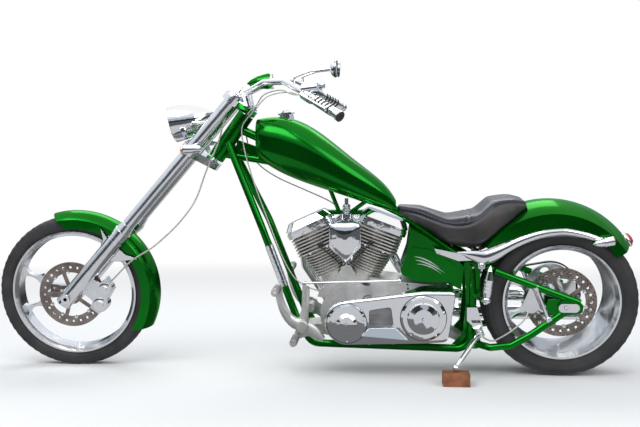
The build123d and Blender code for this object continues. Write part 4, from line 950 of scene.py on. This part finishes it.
# %% [markdown]
# The horn hides behind a chromed cover like a shield, flat at the top and pointed at the foot. A dome
# is a closed outline whose rings shrink towards its middle as they rise, which gives it its crown.
# %% Horn shield
HORN_MIDDLE, HORN_Y, HORN_CROWN = Vector((902, 590)), 145.0, 18.0
HORN_CORNERS = [(901, 664), (940, 664), (964, 654), (967, 610), (963, 578), (934, 528), (902, 499),
                (869, 528), (840, 578), (837, 610), (840, 654), (862, 664)]
DOME_SHARES = (1.0, 0.985, 0.93, 0.82, 0.66, 0.48, 0.3, 0.12)


def through(a, b, c, d, t):
    """A place between b and c, at share t, on the smooth line that runs through a, b, c and d."""
    return (b + (c - a) * t / 2 + (a - b * 2.5 + c * 2 - d / 2) * t * t
            + (b * 1.5 - a / 2 - c * 1.5 + d / 2) * t ** 3)


def smooth_outline(corners, steps=6):
    """A closed outline made smooth through its corners."""
    spots = [Vector(spot) for spot in corners]
    count = len(spots)
    return [through(*(spots[(k + shift) % count] for shift in (-1, 0, 1, 2)), step / steps)
            for k in range(count) for step in range(steps)]


def dome(shapes, outline, middle, base, height):
    """A crowned plate: outline and middle in the side view, raised from base to the left."""
    rings = []
    for part in DOME_SHARES:
        y = base + height * math.sqrt(1 - part * part)
        places = [middle + (spot - middle) * part for spot in outline]
        rings.append([shapes.vert((place.x, y, place.y)) for place in places])
    for low, high in zip(rings, rings[1:]):
        for k in range(len(outline)):
            n = (k + 1) % len(outline)
            shapes.mesh.faces.new([low[k], low[n], high[n], high[k]])
    shapes.mesh.faces.new(rings[-1])


horn = Shapes()
dome(horn, smooth_outline(HORN_CORNERS), HORN_MIDDLE, HORN_Y, HORN_CROWN)
horn.done("horn_shield", "chrome")

# %% [markdown]
# Silencers have clamps where they join the pipes and a rolled lip at the end. Each clamp is a band
# turned about the pipe, with a bolt across two ears above it.
# %% Exhaust clamps
SILENCER_Y, SILENCER_START, SILENCER_END = -248, 370, -150
BACK = (-1, 0, 0)
clamps = Shapes()
for z in (190, 276):
    for along, pipe_r in ((SILENCER_START + 30, 22), (SILENCER_START - 10, 32.5)):
        clamps.lathe((along, SILENCER_Y, z), BACK, [(0, pipe_r), (1, 34), (11, 34), (12, 32)], 40)
        clamps.rod((along - 6, SILENCER_Y + 16, z + 36), (along - 6, SILENCER_Y - 16, z + 36), 4, 12)
        ears = [(along - 11, z + 31), (along - 1, z + 31), (along - 1, z + 41), (along - 11, z + 41)]
        clamps.plate(ears, SILENCER_Y - 8, SILENCER_Y + 8)
    lip = [(-14, 32.2), (-12, 33.8), (-2, 33.8), (1.5, 31), (0, 29.2)]
    clamps.lathe((SILENCER_END, SILENCER_Y, z), BACK, lip, 48)
clamps.done("exhaust_clamps", "chrome")

# %% [markdown]
# A chrome sleeve covers the stretch of the left downtube that a rider's boot rubs, in eight bands,
# and polished rods brace the swingarm on both sides, with a bolted eye at each end.
# %% Sleeve and braces
SLEEVE_TOP, SLEEVE_FOOT, SLEEVE_BANDS = Vector((1230, 115, 565)), Vector((1166, 122, 388)), 8
BRACE_TOP, BRACE_FOOT = (116, 194, 402), (63, 194, 269)
sleeve = Shapes()
length = (SLEEVE_FOOT - SLEEVE_TOP).length
band = length / SLEEVE_BANDS
profile = [(0, 16.2)]
for k in range(SLEEVE_BANDS):
    start = band * k
    end = start + band
    profile += [(start + 0.6, 18.6), (end - 2.6, 18.6), (end - 1.6, 17.0), (end - 0.4, 17.0)]
profile += [(length, 16.2)]
sleeve.lathe(SLEEVE_TOP, SLEEVE_FOOT - SLEEVE_TOP, profile, 32)
sleeve.done("downtube_sleeve", "chrome")
braces = Shapes()
for sign in (1, -1):
    braces.rod(mirrored(BRACE_TOP, sign), mirrored(BRACE_FOOT, sign), 10.4, 24)
    for spot in (BRACE_TOP, BRACE_FOOT):
        eye = mirrored(spot, sign)
        braces.lathe(eye, LEFT * sign, [(0, 0), (0, 13), (12, 13), (14, 11), (14, 0)])
        braces.bolt(eye + LEFT * sign * 14, LEFT * sign)
braces.done("swingarm_braces", "chrome")

# %% [markdown]
# Bolts hold the gussets, the fender's struts, the neck, the pegs and the swingarm. They sit in pairs,
# one on each side of the machine, so one list of left places serves both sides.
# %% Chassis bolts and pegs
BOLTS = [
    # left place, radius
    ((366, 114, 470), 5), ((366, 114, 356), 5), ((346, 114, 140), 5), ((404, 114, 128), 5),
    ((510, 172, 544), 6), ((0, 172, 628), 6), ((-90, 172, 606), 6),
    ((1358, 8, 968), 3.5), ((1330, 8, 948), 3.5), ((1300, 8, 938), 3.5),
    ((1180, 318, 400), 8), ((0, 222, 324), 9),
]
PEG, HIGH_PEG, RUBBER_STEP = (1108, 222, 190), (1180, 236, 400), 13
bolts = Shapes()
for spot, radius in BOLTS:
    for sign in (1, -1):
        bolts.bolt(mirrored(spot, sign), LEFT * sign, radius)
for sign in (1, -1):
    bolts.lathe((336, sign * 172, 490), LEFT * sign, [(0, 0), (0, 11), (4, 11), (9, 7), (10, 0)])
    bolts.lathe((1082, sign * 214, 235), LEFT * sign, [(0, 0), (0, 15), (5, 15), (8, 11), (8, 0)])
bolts.done("chassis_bolts", "chrome")
rubbers = Shapes()
for sign in (1, -1):
    for peg, rings, radius in ((PEG, 7, 16), (HIGH_PEG, 5, 17)):
        for k in range(rings):
            ring_at = mirrored(peg, sign) + LEFT * sign * RUBBER_STEP * k
            rubbers.lathe(ring_at, LEFT * sign, [(0, radius - 2), (1, radius), (7, radius), (8, radius - 2)])
rubbers.done("peg_rubbers", "dark_casting_and_pocket_shade")

# %% [markdown]
# The fender struts are cast and polished by hand, so they swell and taper. CAD keeps them as plates
# of the right length. Each gets a crowned arm over its outer face: a smooth middle line with a half
# width at each station, flat inside and domed outside.
# %% Strut crowns
STRUT_FACE, STRUT_CROWN = 171.0, 10.0
STRUT_STATIONS = [(436, 546, 3), (402, 538, 13), (366, 530, 22), (322, 521, 28), (282, 535, 24),
                  (240, 558, 19), (196, 582, 17), (150, 602, 16), (109, 616, 15), (60, 626, 14),
                  (0, 630, 13), (-63, 620, 12), (-124, 602, 10), (-162, 590, 5)]


def smooth_line(stations, steps=5):
    """An open line, such as the middle of an arm, made smooth through its stations."""
    ends = [Vector(spot) for spot in (stations[0], *stations, stations[-1])]
    made = [through(*ends[k:k + 4], step / steps) for k in range(len(ends) - 3) for step in range(steps)]
    return made + [ends[-1]]


def arm(shapes, stations, sign, base, height, sides=10):
    """A cast arm on the side of sign: (x, z, half width) stations, flat at base and crowned outwards."""
    line = smooth_line(stations)
    rings = []
    for k, (x, z, half) in enumerate(line):
        before, after = line[max(0, k - 1)], line[min(len(line) - 1, k + 1)]
        run = (after - before).xy.normalized()
        ring = []
        for step in range(sides + 1):
            turn = math.pi * step / sides
            across = -half * math.cos(turn)
            y = sign * (base + height * math.sin(turn))
            ring.append(shapes.vert((x - run.y * across, y, z + run.x * across)))
        rings.append(ring)
    for low, high in zip(rings, rings[1:]):
        for k in range(sides + 1):
            n = (k + 1) % (sides + 1)
            shapes.mesh.faces.new([low[k], low[n], high[n], high[k]])
    shapes.mesh.faces.new(rings[0])
    shapes.mesh.faces.new(rings[-1])


for sign, name in SIDES:
    strut = Shapes()
    arm(strut, STRUT_STATIONS, sign, STRUT_FACE, STRUT_CROWN)
    strut.done(name + "_strut_crown", "chrome")

# %% [markdown]
# The foot controls are cast arms too: one up to the rider's peg, one down to the pedal, and on the
# left a lever besides, all from the same pivot.
# %% Foot controls
LEVER_STATIONS = [(1080, 246, 25), (1075, 275, 19), (1068, 310, 14), (1062, 350, 11), (1060, 385, 11),
                  (1060, 402, 8)]
PEG_ARM_STATIONS = [(1086, 238, 30), (1118, 250, 25), (1146, 278, 21), (1166, 318, 18), (1177, 360, 16),
                    (1181, 400, 17), (1181, 412, 10)]
PEDAL_STATIONS = [(1082, 236, 22), (1050, 214, 27), (1018, 190, 23), (994, 174, 12)]
CONTROL_PIVOT, CONTROL_HUB = (1082, 200, 235), [(0, 0), (0, 27), (20, 27), (26, 22), (28, 0)]
for sign, name in SIDES:
    control = Shapes()
    arm(control, PEG_ARM_STATIONS, sign, 199.0, 20.0)
    arm(control, PEDAL_STATIONS, sign, 186.0, 14.0)
    if sign > 0:
        arm(control, LEVER_STATIONS, sign, 190.0, 20.0)
    control.lathe(mirrored(CONTROL_PIVOT, sign), LEFT * sign, CONTROL_HUB, 32)
    control.done(name + "_foot_arms", "cast_aluminium")

# %% [markdown]
# A painted skirt, the valance, fills the gap between each strut and the rear fender's edge. It is a
# flat band of the wheel arch, so it is drawn as two arcs about the arch's middle. Four polished rings
# dress each passenger peg's bracket.
# %% Valances and peg rings
VALANCE_ARCH, VALANCE_OUTER, VALANCE_INNER = (40, 0, 362), 298, 270
VALANCE_FROM, VALANCE_SWEEP, VALANCE_Y = 38, 88, (155.5, 159.5)
PEG_BRACKET, PEG_BRACKET_AXIS = (319, 214, 366), Vector((-0.12, 0, 1))


def arc(radius):
    places = [polar(VALANCE_ARCH, radius, VALANCE_FROM + VALANCE_SWEEP * k / 24) for k in range(25)]
    return [(place.x, place.z) for place in places]


for sign, name in SIDES:
    valance = Shapes()
    valance.plate(arc(VALANCE_OUTER) + arc(VALANCE_INNER)[::-1], *sorted(sign * y for y in VALANCE_Y))
    valance.done(name + "_fender_valance", "candy_green")
rings = Shapes()
for sign in (1, -1):
    for along in (18, 34, 50, 66):
        band = [(along, 18), (along + 1, 19.6), (along + 5, 19.6), (along + 6, 18)]
        rings.lathe(mirrored(PEG_BRACKET, sign), PEG_BRACKET_AXIS, band)
rings.done("peg_rings", "chrome")

# %% [markdown]
# The side cover carries a small painted flourish. Its strokes are slim tapered leaves of silver
# paint, as a striping brush leaves them: this one is a plain fan of three curved strokes.
# %% Paint strokes
PAINT_LOW, PAINT_TOP = 133.8, 134.4
STROKES = [
    # start, bend, end, width
    ((612, 520), (560, 514), (505, 470), 5),
    ((606, 505), (560, 500), (486, 452), 6),
    ((600, 488), (548, 488), (498, 446), 4),
]


def stroke_outline(start, bend, end, width, steps=12):
    left, right = [], []
    for k in range(steps + 1):
        t = k / steps
        x, z = [(1 - t) ** 2 * a + 2 * t * (1 - t) * b + t * t * c for a, b, c in zip(start, bend, end)]
        slope = [2 * (1 - t) * (b - a) + 2 * t * (c - b) for a, b, c in zip(start, bend, end)]
        half = width * math.sin(math.pi * min(1, t * 1.02 + 0.02)) * 0.5 + 0.25
        over, along = (part / math.hypot(*slope) * half for part in slope)
        left.append((x - along, z + over))
        right.append((x + along, z - over))
    return left + right[::-1]


strokes = Shapes()
for start, bend, end, width in STROKES:
    strokes.plate(stroke_outline(start, bend, end, width), PAINT_LOW, PAINT_TOP)
strokes.done("side_strokes", "silver_stripe")

# %% [markdown]
# Fork trim: chrome thorns over the front fender's mounts, pinch bolts in the clamps and the fork's
# feet, a collar and a seal where each leg slides, and a cap on each tube. All are placed along the
# fork's own slope from the axle, so the fork's rake is written once.
# %% Fork trim
RAKE = math.radians(41.5)
FORK_UP = Vector((-math.sin(RAKE), 0, math.cos(RAKE)))
FORK_BACK = Vector((-math.cos(RAKE), 0, -math.sin(RAKE)))
FORK_Y = 125
COLLAR = [(-30, 34.2), (-28, 36), (-2, 36), (2, 33), (2, 27.5)]
TUBE_CAP = [(0, 26), (2, 27.4), (5, 27), (8, 20), (8, 0)]
# A thorn's corners are (up the fork, back from it); one points back along the tyre, one ahead.
THORNS = ([(224, -22), (298, -22), (318, -88), (288, -50)],
          [(224, -22), (224, 26), (262, 70), (318, 120), (298, 66), (302, -22)])


def leg(up, y=0.0, back=0.0):
    return FRONT_AXLE_AT + FORK_UP * up + FORK_BACK * back + LEFT * y


thorns = Shapes(turned=True)
for sign in (1, -1):
    for outline in THORNS:
        corners = [leg(up, back=back) for up, back in outline]
        thorns.plate([(spot.x, spot.z) for spot in corners], *sorted((sign * 78, sign * 80.5)))
    for back in (-4, 34):
        thorns.bolt(leg(262, sign * 80, back), LEFT * sign)
thorns.done("fender_thorns", "chrome", bevel=0.8)
front_trim = Shapes(turned=True)
for sign in (1, -1):
    for up in (840, 858, 1120, 1136):
        front_trim.bolt(leg(up, sign * 164), LEFT * sign, 4.6)
    front_trim.lathe(leg(385, sign * FORK_Y), FORK_UP, COLLAR, 40)
    front_trim.lathe(leg(330, sign * FORK_Y), FORK_UP, [(0, 34.2), (1, 35.4), (5, 35.4), (6, 34.2)], 40)
    for back in (12, -12):
        front_trim.bolt(leg(-12, sign * 158, back), LEFT * sign)
    front_trim.lathe(leg(1162, sign * FORK_Y), FORK_UP, TUBE_CAP, 36)
    for y in (36, 48):
        front_trim.bolt((1345, sign * y, 1200), (1, 0, 0.2), 3.4)
front_trim.done("front_end_bolts", "chrome")
dark_trim = Shapes(turned=True)
for sign in (1, -1):
    seal = [(0, 32), (0, 27.3), (5, 27.3), (5, 31), (0, 32)]
    dark_trim.lathe(leg(387, sign * FORK_Y), FORK_UP, seal, 40)
dark_trim.done("fork_seals", "black_rubber")

# %% [markdown]
# The grips are chromed, with bands of rubber that keep a hand from slipping, and a cap at the end.
# The front caliper has two round caps over its pistons, and small bolts round its body.
# %% Grips and caliper
BAR_BEND, BAR_END = (1075, 315, 1224), (925, 450, 1132)
CALIPER_Y = 112
CALIPER_CAPS = ((60, 124, 30), (130, 96, 26))
CALIPER_BOLTS = ((36, 112), (34, 138), (142, 122), (154, 82), (118, 40), (70, 40))
grips = Shapes(turned=True)
for sign in (1, -1):
    bend, end = mirrored(BAR_BEND, sign), mirrored(BAR_END, sign)
    along = (end - bend).normalized()
    grips.lathe(end, along, [(7, 21.4), (11, 21.6), (14, 18), (14.5, 0)], 32)
    for k in range(5):
        grips.lathe(bend + along * (98 + 18 * k), along, [(0, 17), (0.5, 19.2), (9.5, 19.2), (10, 17)], 32)
grips.done("grip_bands", "black_rubber")
caliper = Shapes(turned=True)
for up, back, wide in CALIPER_CAPS:
    cap = [(-1, wide), (1.5, wide - 1), (3, wide - 5), (3, wide - 14), (4.5, wide - 16), (4.5, 0)]
    caliper.lathe(leg(up, CALIPER_Y, back), LEFT, cap, 36)
for up, back in CALIPER_BOLTS:
    caliper.bolt(leg(up, CALIPER_Y, back), LEFT)
caliper.done("front_caliper_caps", "chrome")

# %% [markdown]
# Two cables run from the bars to the engine: the clutch's on the left, the throttle's on the right.
# They cross the steering joint, where CAD has to part them. A real cable bends there instead, so
# each is one smooth tube on a NURBS line: above the upper fork clamp its places follow the turned
# bars, below the headstock they lie on the frame, and in between the tube turns softly. It rides on no body.
# %% Control cables
CABLE_R = 3.0
CABLE_ROUTES = [
    # name, places on the front end, places on the frame
    ("clutch",
     [(1079, 340, 1211), (1112, 275, 1206), (1160, 200, 1232), (1247, 120, 1211), (1278, 46, 1170),
      (1321, 46, 1112)],
     [(1354, 46, 1067), (1337, 56, 966), (1323, 60, 915), (1293, 70, 816), (1250, 80, 700),
      (1170, 84, 480), (1100, 72, 372), (1004, 60, 350)]),
    ("throttle",
     [(1079, -340, 1211), (1112, -275, 1188), (1160, -200, 1214), (1247, -120, 1202), (1278, -46, 1170),
      (1321, -46, 1112)],
     [(1354, -46, 1067), (1330, -54, 930), (1240, -62, 850), (1080, -60, 780), (950, -56, 722),
      (908, -60, 650), (896, -60, 600)]),
]


def cable_mesh(name, places):
    """The mesh of a NURBS tube."""
    curve = nurbs_tube(name, places, CABLE_R)
    curve.splines[0].resolution_u = 10
    line = bpy.data.objects.new(name, curve)
    bpy.context.collection.objects.link(line)
    bpy.context.view_layer.update()
    made = bpy.data.meshes.new_from_object(line.evaluated_get(bpy.context.evaluated_depsgraph_get()))
    bpy.data.objects.remove(line)
    return made


for name, on_bars, on_frame in CABLE_ROUTES:
    places = [at(*spot, True) for spot in on_bars] + [at(*spot) for spot in on_frame]
    cable = add_piece(name + "_cable", cable_mesh(name, places), "braided_hose", None)
    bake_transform(cable)
    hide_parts("bar_cables", "engine_cables")

# %% [markdown]
# The floor is a wide pale sheet that only catches the machine's shadow. Far out it fades to the
# white of the background, so no line of a horizon runs behind the machine.
# %% Floor
FLOOR_HALF, FADE_FROM, FADE_TO = 400, 1.8, 8.0
corners = [(x * FLOOR_HALF, y * FLOOR_HALF, 0) for x, y in ((-1, -1), (1, -1), (1, 1), (-1, 1))]
mesh = bpy.data.meshes.new("floor")
mesh.from_pydata(corners, [], [(0, 1, 2, 3)])
floor = bpy.data.objects.new("floor", mesh)
bpy.context.collection.objects.link(floor)
floor_finish = Finish("pale_floor", (0.84, 0.84, 0.83), roughness=0.9)
floor_finish.shader.inputs["Specular IOR Level"].default_value = 0.0
tree = floor_finish.tree
place = tree.nodes.new("ShaderNodeTexCoord")
distance = tree.nodes.new("ShaderNodeVectorMath")
distance.operation = "LENGTH"
fade = tree.nodes.new("ShaderNodeMapRange")
fade.inputs["From Min"].default_value, fade.inputs["From Max"].default_value = FADE_FROM, FADE_TO
far = tree.nodes.new("ShaderNodeEmission")
blend = tree.nodes.new("ShaderNodeMixShader")
tree.links.new(place.outputs["Object"], distance.inputs[0])
tree.links.new(distance.outputs["Value"], fade.inputs["Value"])
tree.links.new(fade.outputs["Result"], blend.inputs["Fac"])
tree.links.new(floor_finish.shader.outputs[0], blend.inputs[1])
tree.links.new(far.outputs[0], blend.inputs[2])
tree.links.new(blend.outputs[0], tree.nodes["Material Output"].inputs["Surface"])
mesh.materials.append(floor_finish.material)
print("floor fades from", FADE_FROM, "to", FADE_TO, "metres")
